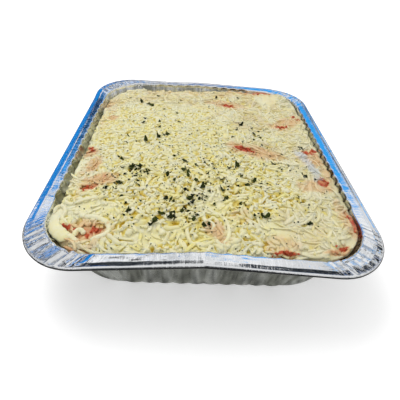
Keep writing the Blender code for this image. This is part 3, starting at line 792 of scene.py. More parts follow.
# Middle and spread in tenths of a millimetre, and the number of flakes.
HERB_PATCHES = (
    (-606, -490, 40, 16), (-517, -537, 30, 9), (-722, -618, 60, 11), (-604, -698, 70, 14),
    (-843, -767, 25, 4), (-764, -746, 25, 4), (-801, -281, 20, 2), (-294, -910, 32, 9),
    (-130, -902, 28, 8), (-57, -865, 32, 9), (-303, -1086, 42, 13), (-136, -1026, 45, 12),
    (-6, -1161, 26, 7), (-600, -1000, 90, 9), (317, -955, 24, 4), (447, -645, 30, 5),
    (446, -1043, 30, 6), (815, -894, 30, 4), (807, -1077, 14, 2), (1000, 55, 20, 4),
    (1145, -100, 14, 3), (0, -620, 210, 46), (30, -400, 190, 26), (230, -440, 30, 5),
    (720, -450, 160, 18), (560, 200, 150, 22), (-600, 200, 200, 14), (-450, 900, 240, 18),
    (300, 1200, 250, 8),
)


def flake_mesh(name, x, y, size, heap, draw):
    """Crumpled flakes: a small grid each, with a ragged rim, curled over, leaning at random and resting on
    the heap.
    """
    number = len(x)
    u, v = np.meshgrid(np.linspace(-1, 1, 4), np.linspace(-1, 1, 4))
    u = u.ravel()[None] * (1 + draw.normal(0, 0.22, (number, 16)))
    v = v.ravel()[None] * (1 + draw.normal(0, 0.22, (number, 16)))
    shrink = 1 - 0.22 * (np.abs(u) * np.abs(v))
    long = draw.uniform(0.7, 1.25, (number, 1))
    flat_x = u * shrink * size[:, None] * long * 0.5
    flat_y = v * shrink * size[:, None] / long * 0.36
    curl = draw.normal(0, 0.28, (number, 1)) * u**2 + draw.normal(0, 0.25, (number, 1)) * u * v
    rise = size[:, None] * (curl + draw.normal(0, 0.07, (number, 16)))
    turn = draw.uniform(0, 2 * math.pi, (number, 1))
    off_x, off_y = turned(flat_x, flat_y, turn)
    lean = draw.normal(0, 0.30, (number, 2))
    near = (-0.0008, 0, 0.0008)
    level = np.maximum.reduce([heap.at(x + dx, y + dy) for dx in near for dy in near])
    low = heap.at(x, y)
    z = (0.75 * level + 0.25 * low)[:, None] + 0.0004 + rise * 0.6
    z = z + off_x * lean[:, :1] + off_y * lean[:, 1:]
    top = np.stack((x[:, None] + off_x, y[:, None] + off_y, z), -1)
    thin = np.array([0, 0, 0.00022])
    points = np.concatenate((top, top - thin), 1).reshape(-1, 3)
    upper = grid_quads(4, 4)
    lower = upper[:, ::-1] + 16
    rim = np.array([0, 1, 2, 3, 7, 11, 15, 14, 13, 12, 8, 4])
    after = np.roll(rim, -1)
    sides = np.column_stack((rim, rim + 16, after + 16, after))
    quads = np.concatenate((upper, lower, sides))
    loops = (quads.ravel()[None] + 32 * np.arange(number)[:, None]).ravel()
    tone = np.repeat(draw.uniform(0, 1, number), 32)
    return write_mesh(name, points, loops, np.full(len(loops) // 4, 4), {"tone": tone})


def lump_mesh(name, x, y, size, heap, draw):
    """Small uneven lumps: a ball of rings each, stretched, dented by noise and half sunk."""
    number = len(x)
    rings, around = 5, 8
    polar = np.linspace(0.15, math.pi - 0.15, rings)[:, None]
    turn = np.linspace(0, 2 * math.pi, around, endpoint=False)[None]
    ball = (np.sin(polar) * np.cos(turn), np.sin(polar) * np.sin(turn), -np.cos(polar) + 0 * turn)
    unit = np.stack(ball, -1)
    unit = unit.reshape(1, -1, 3) * (1 + draw.normal(0, 0.13, (number, rings * around, 1)))
    stretch = draw.uniform(0.7, 1.4, (number, 1, 3)) * (1, 1, 0.6)
    local = unit * stretch * size[:, None, None] * 0.5
    heading = draw.uniform(0, 2 * math.pi, (number, 1))
    px = x[:, None] + local[..., 0] * np.cos(heading) - local[..., 1] * np.sin(heading)
    py = y[:, None] + local[..., 0] * np.sin(heading) + local[..., 1] * np.cos(heading)
    pz = heap.at(x, y)[:, None] + local[..., 2] + 0.0002
    points = np.stack((px, py, pz), -1).reshape(-1, 3)
    loops, sizes = tube_faces(rings, around, number)
    tone = np.repeat(draw.uniform(0, 1, number), rings * around)
    return write_mesh(name, points, loops, sizes, {"tone": tone})


# Materials


class Nodes:
    """Short ways to add and join the nodes of one material."""

    def __init__(self, name):
        self.material = bpy.data.materials.new(name)
        self.material.use_nodes = True
        self.tree = self.material.node_tree
        self.surface = self.tree.nodes["Principled BSDF"]

    def add(self, kind, values=None, **settings):
        """A node of a kind, with its settings and its inputs' values or links."""
        node = self.tree.nodes.new(kind)
        for key, value in settings.items():
            setattr(node, key, value)
        for key, value in (values or {}).items():
            self.put(node.inputs[key], value)
        return node

    def put(self, socket, value):
        """A link where value is a socket, and otherwise the socket's own value."""
        if isinstance(value, bpy.types.NodeSocket):
            self.tree.links.new(value, socket)
        else:
            socket.default_value = value

    def attribute(self, label):
        """The named value stored at the mesh's points."""
        return self.add("ShaderNodeAttribute", attribute_name=label).outputs["Fac"]

    def place(self, scale=(1, 1, 1), turn=0.0, uv=False):
        """Object or UV coordinates, scaled and turned."""
        source = self.add("ShaderNodeTexCoord").outputs["UV" if uv else "Object"]
        values = {"Vector": source, "Scale": scale, "Rotation": (0, 0, turn)}
        return self.add("ShaderNodeMapping", values).outputs[0]

    def noise(self, place, scale, detail=3.0, rough=0.55):
        """A noise pattern's value."""
        values = {"Vector": place, "Scale": scale, "Detail": detail, "Roughness": rough}
        return self.add("ShaderNodeTexNoise", values).outputs["Fac"]

    def spread(self, value, low, high, to_low=0.0, to_high=1.0):
        """A value carried from one range to another, and held inside it."""
        values = {"Value": value, "From Min": low, "From Max": high, "To Min": to_low, "To Max": to_high}
        return self.add("ShaderNodeMapRange", values, interpolation_type="SMOOTHSTEP").outputs[0]

    def blend(self, share, first, second):
        """Two colours mixed by a share."""
        node = self.add("ShaderNodeMix", data_type="RGBA")
        self.put(node.inputs[0], share)
        for socket, colour in ((6, first), (7, second)):
            linked = isinstance(colour, bpy.types.NodeSocket)
            self.put(node.inputs[socket], colour if linked else (*colour, 1))
        return node.outputs[2]

    def math(self, operation, first, second=0.0):
        """One step of arithmetic."""
        node = self.add("ShaderNodeMath", operation=operation)
        self.put(node.inputs[0], first)
        self.put(node.inputs[1], second)
        return node.outputs[0]

    def bump(self, height, distance, before=None):
        """A bump's normal from a height pattern, laid over an earlier bump if one is given."""
        node = self.add("ShaderNodeBump", {"Height": height, "Distance": distance, "Strength": 1.0})
        if before is not None:
            self.put(node.inputs["Normal"], before)
        return node.outputs[0]

    def finish(self, values):
        """Sets or links the surface's inputs by name, and gives back the material."""
        for key, value in values.items():
            self.put(self.surface.inputs[key], value)
        return self.material


def linear(colour):
    """A colour given as on a screen, made linear."""
    colour = np.asarray(colour, float)
    value = np.where(colour <= 0.04045, colour / 12.92, ((colour + 0.055) / 1.055) ** 2.4)
    return (*value.tolist(), 1.0)


def foil_material():
    """Bright pressed foil: fine streaks and small creases across the rim, painted shade in the flute valleys,
    and rougher walls with darker painted streaks that stand for the dark surroundings the walls reflect.
    """
    made = Nodes("foil")
    uv = made.place(uv=True)
    creased = made.attribute("creased")
    creases = made.noise(made.place((330, 50, 1), 0.15, uv=True), 1.0, 3.0)
    streaks = made.noise(made.place((50, 700, 1), -0.12, uv=True), 1.0, 2.0)
    scratches = made.noise(made.place((1300, 200, 1), 0.7, uv=True), 1.0, 2.0)
    bands = made.noise(made.place((52, 4, 1), 0.05, uv=True), 1.0, 3.0)
    smears = made.noise(uv, 60.0, 4.0)
    tint = made.blend(made.spread(smears, 0.35, 0.75), (0.94, 0.95, 0.96), (0.84, 0.86, 0.88))
    # Painted shade: the foil's colour darkens in the flute valleys.
    valley_shade = made.blend(made.attribute("valley_shade"), tint, (0.60, 0.61, 0.58))
    on_wall = made.spread(creased, 0.10, 0.24, 1.0, 0.0)
    # Painted reflection: darker streaks on the walls stand for the dark surroundings that the foil mirrors
    # there.
    wall_reflection_dark = made.math("MULTIPLY", on_wall, made.spread(bands, 0.40, 0.60))
    matt = made.math("MULTIPLY", on_wall, 0.16)
    polish = made.spread(made.noise(uv, 140.0, 4.0), 0.3, 0.75, 0.08, 0.20)
    relief = None
    for pattern, height in ((creases, 0.0008), (scratches, 0.00014), (streaks, 0.00010)):
        relief = made.bump(made.math("MULTIPLY", pattern, creased), height, relief)
    return made.finish({
        "Metallic": 1.0,
        "Base Color": made.blend(wall_reflection_dark, valley_shade, (0.44, 0.45, 0.42)),
        "Roughness": made.math("ADD", polish, matt),
        "Normal": relief,
    })


def cheese_material(settings, name="cheese", grain=1.0, glow=0.0008):
    """Soft cheese: cream to yellow by strand, with painted shade that turns it yellow in shallow hollows and
    golden in the crevices, stained by sauce, moist, with a pale painted sheen in places.
    """
    made = Nodes(name)
    depth, tone, melt, stain = (made.attribute(label) for label in ("depth", "tone", "melt", "stain"))
    place = made.place()
    mottle = made.noise(place, 330.0)
    broad = made.noise(place, 42.0)
    share = made.math("ADD", made.math("MULTIPLY", tone, 0.85), made.spread(mottle, 0.3, 0.7, -0.15, 0.25))
    colour = made.blend(share, settings.cream, settings.yellow)
    pale = made.blend(made.spread(broad, 0.40, 0.66, 0.0, 0.7), colour, settings.pale)
    runny = made.math("MULTIPLY", melt, made.spread(broad, 0.35, 0.6, 0.45, 0.1))
    soft = made.blend(runny, pale, settings.melted)
    # Painted shade: yellow in shallow hollows and golden mustard deep between the strands, where shade falls.
    hollow_shaded = made.blend(made.spread(depth, 0.06, 0.50), soft, settings.hollow)
    deep = made.blend(made.spread(depth, 0.40, 0.95), hollow_shaded, settings.crevice_shade)
    uneven = made.math("ADD", stain, made.spread(made.noise(place, 130.0), 0.3, 0.7, -0.11, 0.11))
    rosy = made.blend(made.spread(uneven, 0.06, 0.70), deep, settings.sauce_pale)
    red = made.blend(made.spread(uneven, 0.60, 0.90), rosy, settings.sauce_red)
    # Painted reflection: a pale blue-grey sheen laid into the colour where the cheese is wet.
    film_sheen = made.math("MULTIPLY", made.attribute("film_sheen"), made.spread(broad, 0.35, 0.6, 0.5, 0.9))
    return made.finish({
        "Base Color": made.blend(film_sheen, red, settings.film_sheen),
        "Roughness": made.spread(mottle, 0.3, 0.7, 0.34, 0.55),
        "Specular IOR Level": 0.35,
        "Subsurface Weight": 0.50,
        "Subsurface Radius": (1.0, 0.90, 0.70),
        "Subsurface Scale": glow,
        "Normal": made.bump(made.noise(place, 900.0), 0.00012 * grain),
    })


def sauce_material(settings):
    """Pasta in tomato and cream sauce: rosy beige, orange and deep red, wet, and darker with painted shade
    where it lies deep.
    """
    made = Nodes("sauce")
    red = made.attribute("redness")
    depth = made.attribute("depth")
    place = made.place()
    mottle = made.noise(place, 260.0, 4.0)
    share = made.math("ADD", red, made.spread(mottle, 0.3, 0.7, -0.25, 0.25))
    rosy = made.blend(made.spread(share, 0.15, 0.55), settings.sauce_pale, settings.sauce_orange)
    deep = made.blend(made.spread(share, 0.62, 0.95), rosy, settings.sauce_red)
    # Painted shade: the sauce darkens where it lies deep under the food's top.
    dark = made.blend(made.spread(depth, 0.35, 1.0, 0.0, 0.75), deep, settings.sauce_hollow_shade)
    return made.finish({
        "Base Color": dark,
        "Roughness": made.spread(mottle, 0.3, 0.7, 0.18, 0.42),
        "Subsurface Weight": 0.15,
        "Subsurface Radius": (1.0, 0.4, 0.25),
        "Subsurface Scale": 0.002,
        "Normal": made.bump(made.noise(place, 420.0, 4.0), 0.0005),
    })


def herb_material(settings):
    """Dried herb: near black to mid green by flake, with paler veins and a rough face."""
    made = Nodes("herb")
    mottle = made.noise(made.place(), 900.0)
    share = made.math("MULTIPLY", made.attribute("tone"), made.spread(mottle, 0.3, 0.7, 0.4, 1.2))
    return made.finish({
        "Base Color": made.blend(share, settings.herb_dark, settings.herb_green),
        "Roughness": 0.75,
        "Specular IOR Level": 0.15,
        "Normal": made.bump(mottle, 0.0002),
    })


def tomato_material(settings):
    """Bits of tomato: deep red, glossy, with a mottled skin."""
    made = Nodes("tomato")
    mottle = made.noise(made.place(), 500.0)
    share = made.math("MULTIPLY", made.attribute("tone"), made.spread(mottle, 0.3, 0.7, 0.5, 1.2))
    return made.finish({
        "Base Color": made.blend(share, settings.sauce_red, settings.tomato),
        "Roughness": 0.3,
        "Normal": made.bump(mottle, 0.0003),
    })


# Settings and operators


def colour_setting(label, words, screen):
    """A colour property whose default is given as on a screen."""
    return bpy.props.FloatVectorProperty(name=label, description=words, subtype="COLOR", size=3,
                                         min=0.0, max=1.0, default=linear(screen)[:3])


class TrayFoilSettings(bpy.types.PropertyGroup):
    """What can be changed about the foil tray."""

    foil_thickness: bpy.props.FloatProperty(
        name="Foil thickness", description="Thickness of the foil sheet", default=0.0003, unit="LENGTH")
    flute_depth: bpy.props.FloatProperty(
        name="Flute depth", description="How far the wall's flutes bulge out", default=0.0028, unit="LENGTH")
    wrinkle: bpy.props.FloatProperty(
        name="Corner wrinkle", description="Height of the pleats in the corners", default=0.0016,
        unit="LENGTH")


class TrayFoodSettings(bpy.types.PropertyGroup):
    """What can be changed about the food."""

    long_strands: bpy.props.IntProperty(
        name="Long strands", description="How many long strands of cheese are dropped", default=1100, min=0)
    short_strands: bpy.props.IntProperty(
        name="Short strands", description="How many short strands of cheese are dropped", default=1900, min=0)
    crumbs: bpy.props.IntProperty(
        name="Crumbs", description="How many crumbs of cheese are dropped", default=1900, min=0)
    specks: bpy.props.IntProperty(
        name="Herb specks", description="How many fine specks of herb are sprinkled", default=900, min=0)
    cream: colour_setting("Cream", "Palest cheese", (0.905, 0.888, 0.755))
    yellow: colour_setting("Yellow", "Yellowest cheese", (0.905, 0.865, 0.56))
    pale: colour_setting("Pale", "Broad pale patches of the cheese", (0.885, 0.872, 0.755))
    melted: colour_setting("Melted", "Cheese that has melted into sauce", (0.80, 0.70, 0.56))
    # Painted shade: the next two colours are the cheese's colour in shallow hollows and deep between the
    # strands, where shade falls.
    hollow: colour_setting("Hollow", "Cheese a little below its neighbours", (0.88, 0.82, 0.47))
    crevice_shade: colour_setting("Crevice", "Cheese deep between the strands", (0.76, 0.63, 0.10))
    # Painted reflection: the pale sheen on the wet cheese, laid into its colour.
    film_sheen: colour_setting("Film", "Thin pale film of fat", (0.80, 0.81, 0.80))
    sauce_pale: colour_setting("Pale sauce", "Creamy sauce and pasta", (0.86, 0.72, 0.53))
    sauce_orange: colour_setting("Orange sauce", "Tomato and cream sauce", (0.80, 0.57, 0.38))
    sauce_red: colour_setting("Red sauce", "Tomato sauce", (0.74, 0.31, 0.16))
    # Painted shade: the sauce's colour deep in a hollow.
    sauce_hollow_shade: colour_setting("Dark sauce", "Sauce deep in a hollow", (0.56, 0.34, 0.16))
    tomato: colour_setting("Tomato", "Bits of tomato", (0.80, 0.36, 0.18))
    herb_dark: colour_setting("Dark herb", "Darkest herb flakes", (0.06, 0.09, 0.03))
    herb_green: colour_setting("Green herb", "Greenest herb flakes", (0.25, 0.28, 0.08))


class TrayStageSettings(bpy.types.PropertyGroup):
    """What can be changed about the floor, the light and the view."""

    camera_place: bpy.props.FloatVectorProperty(
        name="Camera place", description="Where the camera stands", size=3, unit="LENGTH",
        default=(-0.01751, -0.30527, 0.22854))
    pitch: bpy.props.FloatProperty(
        name="Pitch", description="How far the camera looks down", default=0.68275, unit="ROTATION")
    yaw: bpy.props.FloatProperty(
        name="Yaw", description="How far the camera looks to its left", default=-0.05752, unit="ROTATION")
    roll: bpy.props.FloatProperty(
        name="Roll", description="How far the camera leans", default=-0.07432, unit="ROTATION")
    lens: bpy.props.FloatProperty(
        name="Lens", description="Focal length on a 36 mm sensor", default=31.29, unit="CAMERA")
    key_power: bpy.props.FloatProperty(
        name="Key light", description="Power of the large light over the tray", default=5.0, unit="POWER")


class MEAL_OT_tray(bpy.types.Operator):
    """Build the fluted foil tray"""

    bl_idname = "tray_meal.tray"
    bl_label = "Foil tray"

    def execute(self, context):
        settings = context.scene.tray_foil
        finish_piece(build_tray(settings), foil_material(), "foil", "foil_tray")
        return {"FINISHED"}


class MEAL_OT_lasagne(bpy.types.Operator):
    """Build the pasta and sauce"""

    bl_idname = "tray_meal.lasagne"
    bl_label = "Pasta and sauce"

    def execute(self, context):
        skirt = ((0.0190, 0.0360), (0.0298, 0.0075), (0.0355, 0.0022), (0.0385, 0.0012))
        piece = food_sheet("pasta_and_sauce", 190, 232, 0.0154, sauce_height, skirt, sauce_layers, 0.0022)
        finish_piece(piece, sauce_material(context.scene.tray_food), "sauce_and_pasta", "lasagne")
        return {"FINISHED"}


class MEAL_OT_cheese(bpy.types.Operator):
    """Build the cheese: its bed, then the strands and crumbs that lie on it"""

    bl_idname = "tray_meal.cheese"
    bl_label = "Grated cheese"

    def execute(self, context):
        settings = context.scene.tray_food
        draw = np.random.RandomState(7)
        heap = Heap()
        buried = (
            (settings.crumbs, (0.0040, 0.0085), (0.0026, 0.0046), 0.5),
            (settings.short_strands, (0.006, 0.012), (0.0023, 0.0036), 0.7),
        )
        for count, lengths, widths, bend in buried:
            drop_strands(heap, draw, count, lengths, widths, bend, strand_density, -0.0002)
        kinds = (
            ("short_strands", settings.short_strands, (0.006, 0.014), (0.0021, 0.0034), 0.8),
            ("crumbs", settings.crumbs, (0.0028, 0.0068), (0.0020, 0.0042), 0.5),
            ("long_strands", settings.long_strands, (0.012, 0.026), (0.0019, 0.0029), 1.1),
        )
        laid = {}
        for name, count, lengths, widths, bend in kinds:
            laid[name] = drop_strands(heap, draw, count, lengths, widths, bend, strand_density)
        heap.settle()
        skirt = ((0.0174, 0.0390),)
        bed = food_sheet("cheese_bed", 268, 340, 0.0152, heap.filled, skirt, heap.layers, 0.0021)
        finish = cheese_material(settings, "cheese_bed", 2.0, 0.0030)
        finish_piece(bed, finish, "grated_cheese", "grated_cheese")
        strand_finish = cheese_material(settings, "cheese_strands")
        for name, found in laid.items():
            if len(found):
                finish_piece(strand_mesh(name, found, heap, draw), strand_finish, "grated_cheese")
        HEAP["map"] = heap
        return {"FINISHED"}


HEAP = {}

# Large strands: name, path in tenths of a millimetre with its lift in millimetres, width, thickness
# and roll along it.
RIBBONS = (
    ("loop", (
        (-948, -1099, 1.4), (-862, -1094, 1.8), (-780, -1123, 2.0), (-731, -1169, 1.9),
        (-718, -1218, 1.8), (-741, -1265, 1.6), (-788, -1301, 1.4), (-843, -1313, 0.8)),
     44, 26, (0.1, 0.2, 0.2, 0.0)),
    ("over_wall", (
        (-1170, -545, 3.4), (-1130, -590, 2.6), (-1085, -614, 2.0), (-1016, -612, 1.8),
        (-960, -560, 1.8), (-895, -477, 1.0)), 23, 18, (0.0, 0.3, -0.2)),
    ("wide_fold", (
        (-1055, -290, 0.8), (-1105, -360, 1.4), (-1125, -470, 1.6), (-1120, -570, 0.8)),
     56, 20, (0.4, 0.1, -0.2, 0.2)),
    ("lower_fold", (
        (-1080, -630, 1.2), (-1078, -715, 1.4), (-1108, -764, 1.4), (-1140, -765, 1.0),
        (-1155, -736, 0.4)), 28, 20, (0.2, 0.2)),
    ("corner_band", (
        (-1135, -930, 0.6), (-1150, -1070, 0.9), (-1140, -1150, 1.1), (-1105, -1220, 1.2),
        (-1050, -1275, 1.1), (-990, -1315, 0.6)), 100, 26, (0.2, 0.25, 0.2)),
    ("curl", (
        (-1165, -1060, 1.4), (-1160, -995, 2.2), (-1125, -975, 2.6), (-1090, -1010, 2.4),
        (-1085, -1060, 1.8), (-1100, -1110, 1.0)), 34, 36, (0.0, 0.2, 0.0)),
    ("small_curl", (
        (-960, -1285, 0.8), (-947, -1240, 1.6), (-916, -1232, 1.8), (-883, -1261, 1.0)), 40, 26, (0.0, 0.2)),
    ("small_flap", (
        (-1020, -1300, 0.8), (-977, -1288, 1.4), (-921, -1335, 0.8)), 42, 20, (0.2, 0.0)),
    ("near_hook", (
        (-119, -1133, 0.8), (-148, -1196, 1.8), (-140, -1272, 2.0), (-111, -1331, 1.8),
        (-47, -1342, 1.6), (10, -1335, 0.8)), 30, 22, (0.1, 0.2, 0.0)),
    ("near_loop", (
        (4, -1026, 0.8), (93, -1033, 1.8), (139, -1098, 2.0), (164, -1185, 1.9), (152, -1279, 1.6),
        (107, -1345, 0.8)), 32, 22, (0.1, 0.2, 0.0)),
    ("near_end", (
        (53, -1266, 0.8), (63, -1312, 1.6), (96, -1348, 1.5), (147, -1350, 0.8)), 30, 22, (0.1, 0.2)),
    ("near_fold", (
        (-40, -1085, 0.8), (30, -1130, 1.8), (50, -1180, 1.6), (20, -1250, 0.8)), 30, 20, (0.1, 0.2)),
)


class MEAL_OT_folds(bpy.types.Operator):
    """Lay the large strands and folds of cheese round the gaps"""

    bl_idname = "tray_meal.folds"
    bl_label = "Large strands and folds"

    def execute(self, context):
        settings = context.scene.tray_food
        finish = cheese_material(settings, "cheese_folds")
        for name, keys, width, thick, roll in RIBBONS:
            x, y, lift = np.array(keys).T
            x, y = x / TENTHS, y / TENTHS
            path = np.column_stack((x, y, food_top(x, y) + 0.001 * (lift - 0.6)))
            piece = ribbon_mesh("strand_" + name, path, width / TENTHS, thick / TENTHS, roll)
            finish_piece(piece, finish, "grated_cheese")
        return {"FINISHED"}


class MEAL_OT_sprinkles(bpy.types.Operator):
    """Sprinkle the herb flakes and the bits of tomato"""

    bl_idname = "tray_meal.sprinkles"
    bl_label = "Herbs and tomato"

    def execute(self, context):
        settings = context.scene.tray_food
        heap = HEAP["map"]
        draw = np.random.RandomState(23)
        x, y, size = [], [], []
        for middle_x, middle_y, spread, count in HERB_PATCHES:
            x.append(draw.normal(middle_x / TENTHS, spread / TENTHS, count))
            y.append(draw.normal(middle_y / TENTHS, spread / TENTHS, count))
            size.append(0.0014 + 0.0044 * draw.uniform(0, 1, count) ** 2)
        specks = settings.specks
        x.append(draw.normal(-0.005, 0.055, specks))
        y.append(draw.normal(-0.055, 0.055, specks))
        size.append(draw.uniform(0.0006, 0.0014, specks))
        x, y, size = (np.concatenate(values) for values in (x, y, size))
        keep = well_inside(x, y, 0.006)
        flakes = flake_mesh("herb_flakes", x[keep], y[keep], size[keep], heap, draw)
        finish_piece(flakes, herb_material(settings), "grated_cheese")
        spots = [spot for spot in STAINS for _ in range(4) if spot[3] > 0.8]
        middle = np.array([spot[0] for spot in spots])
        reach = np.array([spot[1] for spot in spots])
        place = middle + reach * draw.normal(0, 0.6, middle.shape)
        keep = well_inside(place[:, 0], place[:, 1], 0.001)
        size = draw.uniform(0.0009, 0.0024, keep.sum())
        bits = lump_mesh("tomato_bits", place[keep, 0], place[keep, 1], size, heap, draw)
        finish_piece(bits, tomato_material(settings), "sauce_and_pasta")
        return {"FINISHED"}


def card(name, azimuth, elevation, width, height, colour, reach=2.0):
    """A glowing studio panel some metres off, facing the tray, that only reflections show."""
    a = math.radians(azimuth)
    e = math.radians(elevation)
    towards = Vector((math.sin(a) * math.cos(e), math.cos(a) * math.cos(e), math.sin(e)))
    side = towards.cross(Vector((0, 0, 1))).normalized()
    up = side.cross(towards)
    centre = towards * reach
    half_w = math.tan(math.radians(width / 2)) * reach
    half_h = math.tan(math.radians(height / 2)) * reach
    signs = ((-1, -1), (1, -1), (1, 1), (-1, 1))
    corners = [tuple(centre + side * (half_w * i) + up * (half_h * j)) for i, j in signs]
    piece = write_mesh(name, corners, range(4), [4])
    made = Nodes(name)
    made.tree.nodes.remove(made.surface)
    glow = made.add("ShaderNodeEmission", {"Color": (*colour, 1), "Strength": 1.0})
    made.put(made.tree.nodes["Material Output"].inputs["Surface"], glow.outputs[0])
    piece.data.materials.append(made.material)
    for ray in ("camera", "diffuse", "shadow", "transmission"):
        setattr(piece, "visible_" + ray, False)


# What the foil sees round the room: name, azimuth, elevation, width and height in degrees, colour
# and distance.
BLUE = (0.03, 0.38, 0.92)
NAVY = (0.01, 0.06, 0.20)
BLACK = (0.02, 0.025, 0.03)
PANELS = (
    ("blue_left", -36, 21, 30, 30, (0.01, 0.25, 0.72)),
    ("navy_left", -12, 25, 15, 17, (0.015, 0.05, 0.12)),
    ("blue_left_near", -18, 38, 11, 10, (0.03, 0.33, 0.84)),
    ("navy_patch", -15, 40, 2, 12, NAVY, 1.9),
    ("white_corner", -37, 44, 18, 12, (0.95, 0.95, 0.95)),
    ("black_corner", -36, 65, 24, 26, BLACK),
    ("blue_right", 20.5, 30, 16, 28, BLUE),
    ("dark_right", 36, 13, 26, 10, (0.03, 0.08, 0.16)),
    ("blue_corner", 46, 31, 4, 12, (0.05, 0.42, 0.95), 1.9),
    ("blue_corner_low", 34, 24, 3, 12, (0.05, 0.42, 0.95), 1.9),
    ("black_corner_right", 54, 50, 6, 30, BLACK, 1.9),
    ("blue_left_low", -34, 10, 30, 9, (0.01, 0.16, 0.50), 1.9),
    ("blue_middle", 3, 29, 19, 8, (0.01, 0.11, 0.40)),
    ("white_high", 3, 58, 44, 36, (0.93, 0.93, 0.93)),
    ("grey_high_left", -13, 57, 4, 30, (0.55, 0.57, 0.58), 1.9),
    ("grey_high_right", 18, 57, 4, 30, (0.55, 0.57, 0.58), 1.9),
    ("black_left", -64, 42, 11, 56, BLACK),
    ("navy_far_left", -84, 42, 9, 60, NAVY),
    ("black_right", 66, 50, 11, 40, BLACK),
    ("navy_far_right", 86, 42, 9, 60, NAVY),
    ("low_1", 112, 14, 16, 26, (0.50, 0.50, 0.46)),
    ("low_2", 140, 14, 16, 26, (0.30, 0.31, 0.32)),
    ("low_3", 168, 14, 16, 26, BLACK),
    ("low_4", 194, 14, 20, 26, (0.10, 0.11, 0.11)),
    ("low_5", 224, 14, 16, 26, BLACK),
    ("low_6", 252, 14, 16, 26, (0.45, 0.47, 0.48)),
)


class MEAL_OT_stage(bpy.types.Operator):
    """Set up the pale floor, the soft light and the camera"""

    bl_idname = "tray_meal.stage"
    bl_label = "Floor, light and camera"

    def execute(self, context):
        settings = context.scene.tray_stage
        scene = context.scene
        scene.view_settings.view_transform = "Standard"
        scene.view_settings.look = "None"
        size, level = 12.0, -0.0002
        corners = [(-size, -size, level), (size, -size, level), (size, size, level), (-size, size, level)]
        floor = write_mesh("floor", corners, range(4), [4])
        floor.data.materials.append(floor_material())
        world = bpy.data.worlds.new("studio")
        world.use_nodes = True
        world.node_tree.nodes["Background"].inputs[0].default_value = (1.0, 1.0, 1.0, 1.0)
        world.node_tree.nodes["Background"].inputs[1].default_value = 0.75
        scene.world = world
        for name, *place_and_colour in PANELS:
            card("panel_" + name, *place_and_colour)
        key = bpy.data.lights.new("key", "AREA")
        key.energy = settings.key_power
        key.size = 0.7
        lamp = bpy.data.objects.new("key", key)
        scene.collection.objects.link(lamp)
        lamp.location = (-0.35, 0.35, 0.95)
        lamp.visible_glossy = False
        lamp.rotation_euler = (Vector((0, 0, 0.04)) - lamp.location).to_track_quat("-Z", "Y").to_euler()
        add_camera(settings)
        return {"FINISHED"}


def floor_material():
    """A white floor that the foil sees as dark, and as a mottled mid grey close under the tray."""
    made = Nodes("floor")
    path = made.add("ShaderNodeLightPath")
    place = made.place()
    apart = made.add("ShaderNodeSeparateXYZ", {"Vector": place}).outputs
    off_x = made.math("SUBTRACT", made.math("ABSOLUTE", apart[0]), RIM_WIDTH / 2)
    off_y = made.math("SUBTRACT", made.math("ABSOLUTE", apart[1]), RIM_LENGTH / 2)
    away = made.spread(made.math("MAXIMUM", off_x, off_y), 0.0, 0.012)
    mottle = made.spread(made.noise(place, 110.0, 2.0), 0.35, 0.65)
    under = made.blend(mottle, (0.085, 0.087, 0.078), (0.34, 0.345, 0.315))
    seen = made.blend(away, under, (0.02, 0.02, 0.02))
    grey = made.add("ShaderNodeEmission", {"Color": seen, "Strength": 1.0})
    both = made.add("ShaderNodeMixShader", {"Fac": path.outputs["Is Glossy Ray"]})
    made.put(both.inputs[1], made.surface.outputs[0])
    made.put(both.inputs[2], grey.outputs[0])
    made.put(made.tree.nodes["Material Output"].inputs["Surface"], both.outputs[0])
    return made.finish({
        "Base Color": (0.9, 0.9, 0.9, 1),
        "Roughness": 0.9,
        "Emission Color": (1, 1, 1, 1),
        "Emission Strength": 0.35,
    })


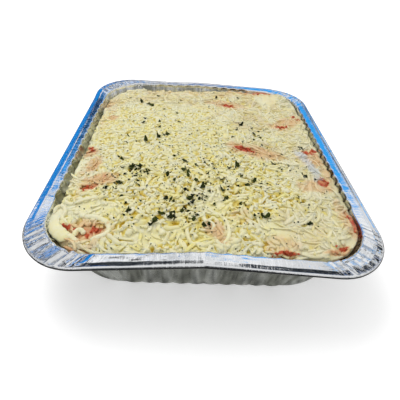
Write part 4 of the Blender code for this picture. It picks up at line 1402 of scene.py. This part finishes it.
def add_camera(settings):
    """The camera from its place, pitch, yaw and roll."""
    pitch, yaw, roll = settings.pitch, settings.yaw, settings.roll
    forward = Vector((-math.sin(yaw) * math.cos(pitch), math.cos(yaw) * math.cos(pitch), -math.sin(pitch)))
    right = Vector((math.cos(yaw), math.sin(yaw), 0))
    down = forward.cross(right)
    across = right * math.cos(roll) + down * math.sin(roll)
    down = down * math.cos(roll) - right * math.sin(roll)
    turn = Matrix((across, -down, -forward)).transposed().to_4x4()
    data = bpy.data.cameras.new("camera")
    data.lens = settings.lens
    data.sensor_width = 36.0
    data.clip_start = 0.01
    camera = bpy.data.objects.new("camera", data)
    bpy.context.scene.collection.objects.link(camera)
    camera.matrix_world = Matrix.Translation(Vector(settings.camera_place)) @ turn
    bpy.context.scene.camera = camera


class MEAL_PT_panel(bpy.types.Panel):
    """The builders of the meal, in order"""

    bl_idname = "MEAL_PT_panel"
    bl_label = "Tray meal"
    bl_space_type = "VIEW_3D"
    bl_region_type = "UI"
    bl_category = "Tray meal"

    def draw(self, context):
        for group in (context.scene.tray_foil, context.scene.tray_food, context.scene.tray_stage):
            for name in group.__annotations__:
                self.layout.prop(group, name)
        for operator in OPERATORS:
            self.layout.operator(operator.bl_idname)


OPERATORS = (MEAL_OT_tray, MEAL_OT_lasagne, MEAL_OT_cheese, MEAL_OT_folds, MEAL_OT_sprinkles, MEAL_OT_stage)
GROUPS = {"tray_foil": TrayFoilSettings, "tray_food": TrayFoodSettings, "tray_stage": TrayStageSettings}


def register():
    for group in GROUPS.values():
        bpy.utils.register_class(group)
    for operator in OPERATORS:
        bpy.utils.register_class(operator)
    bpy.utils.register_class(MEAL_PT_panel)
    for name, group in GROUPS.items():
        setattr(bpy.types.Scene, name, bpy.props.PointerProperty(type=group))


def unregister():
    for name in GROUPS:
        delattr(bpy.types.Scene, name)
    bpy.utils.unregister_class(MEAL_PT_panel)
    for operator in OPERATORS:
        bpy.utils.unregister_class(operator)
    for group in GROUPS.values():
        bpy.utils.unregister_class(group)


def main():
    register()
    bpy.ops.tray_meal.tray()
    bpy.ops.tray_meal.lasagne()
    bpy.ops.tray_meal.cheese()
    bpy.ops.tray_meal.folds()
    bpy.ops.tray_meal.sprinkles()
    bpy.ops.tray_meal.stage()


if __name__ == "__main__":
    main()
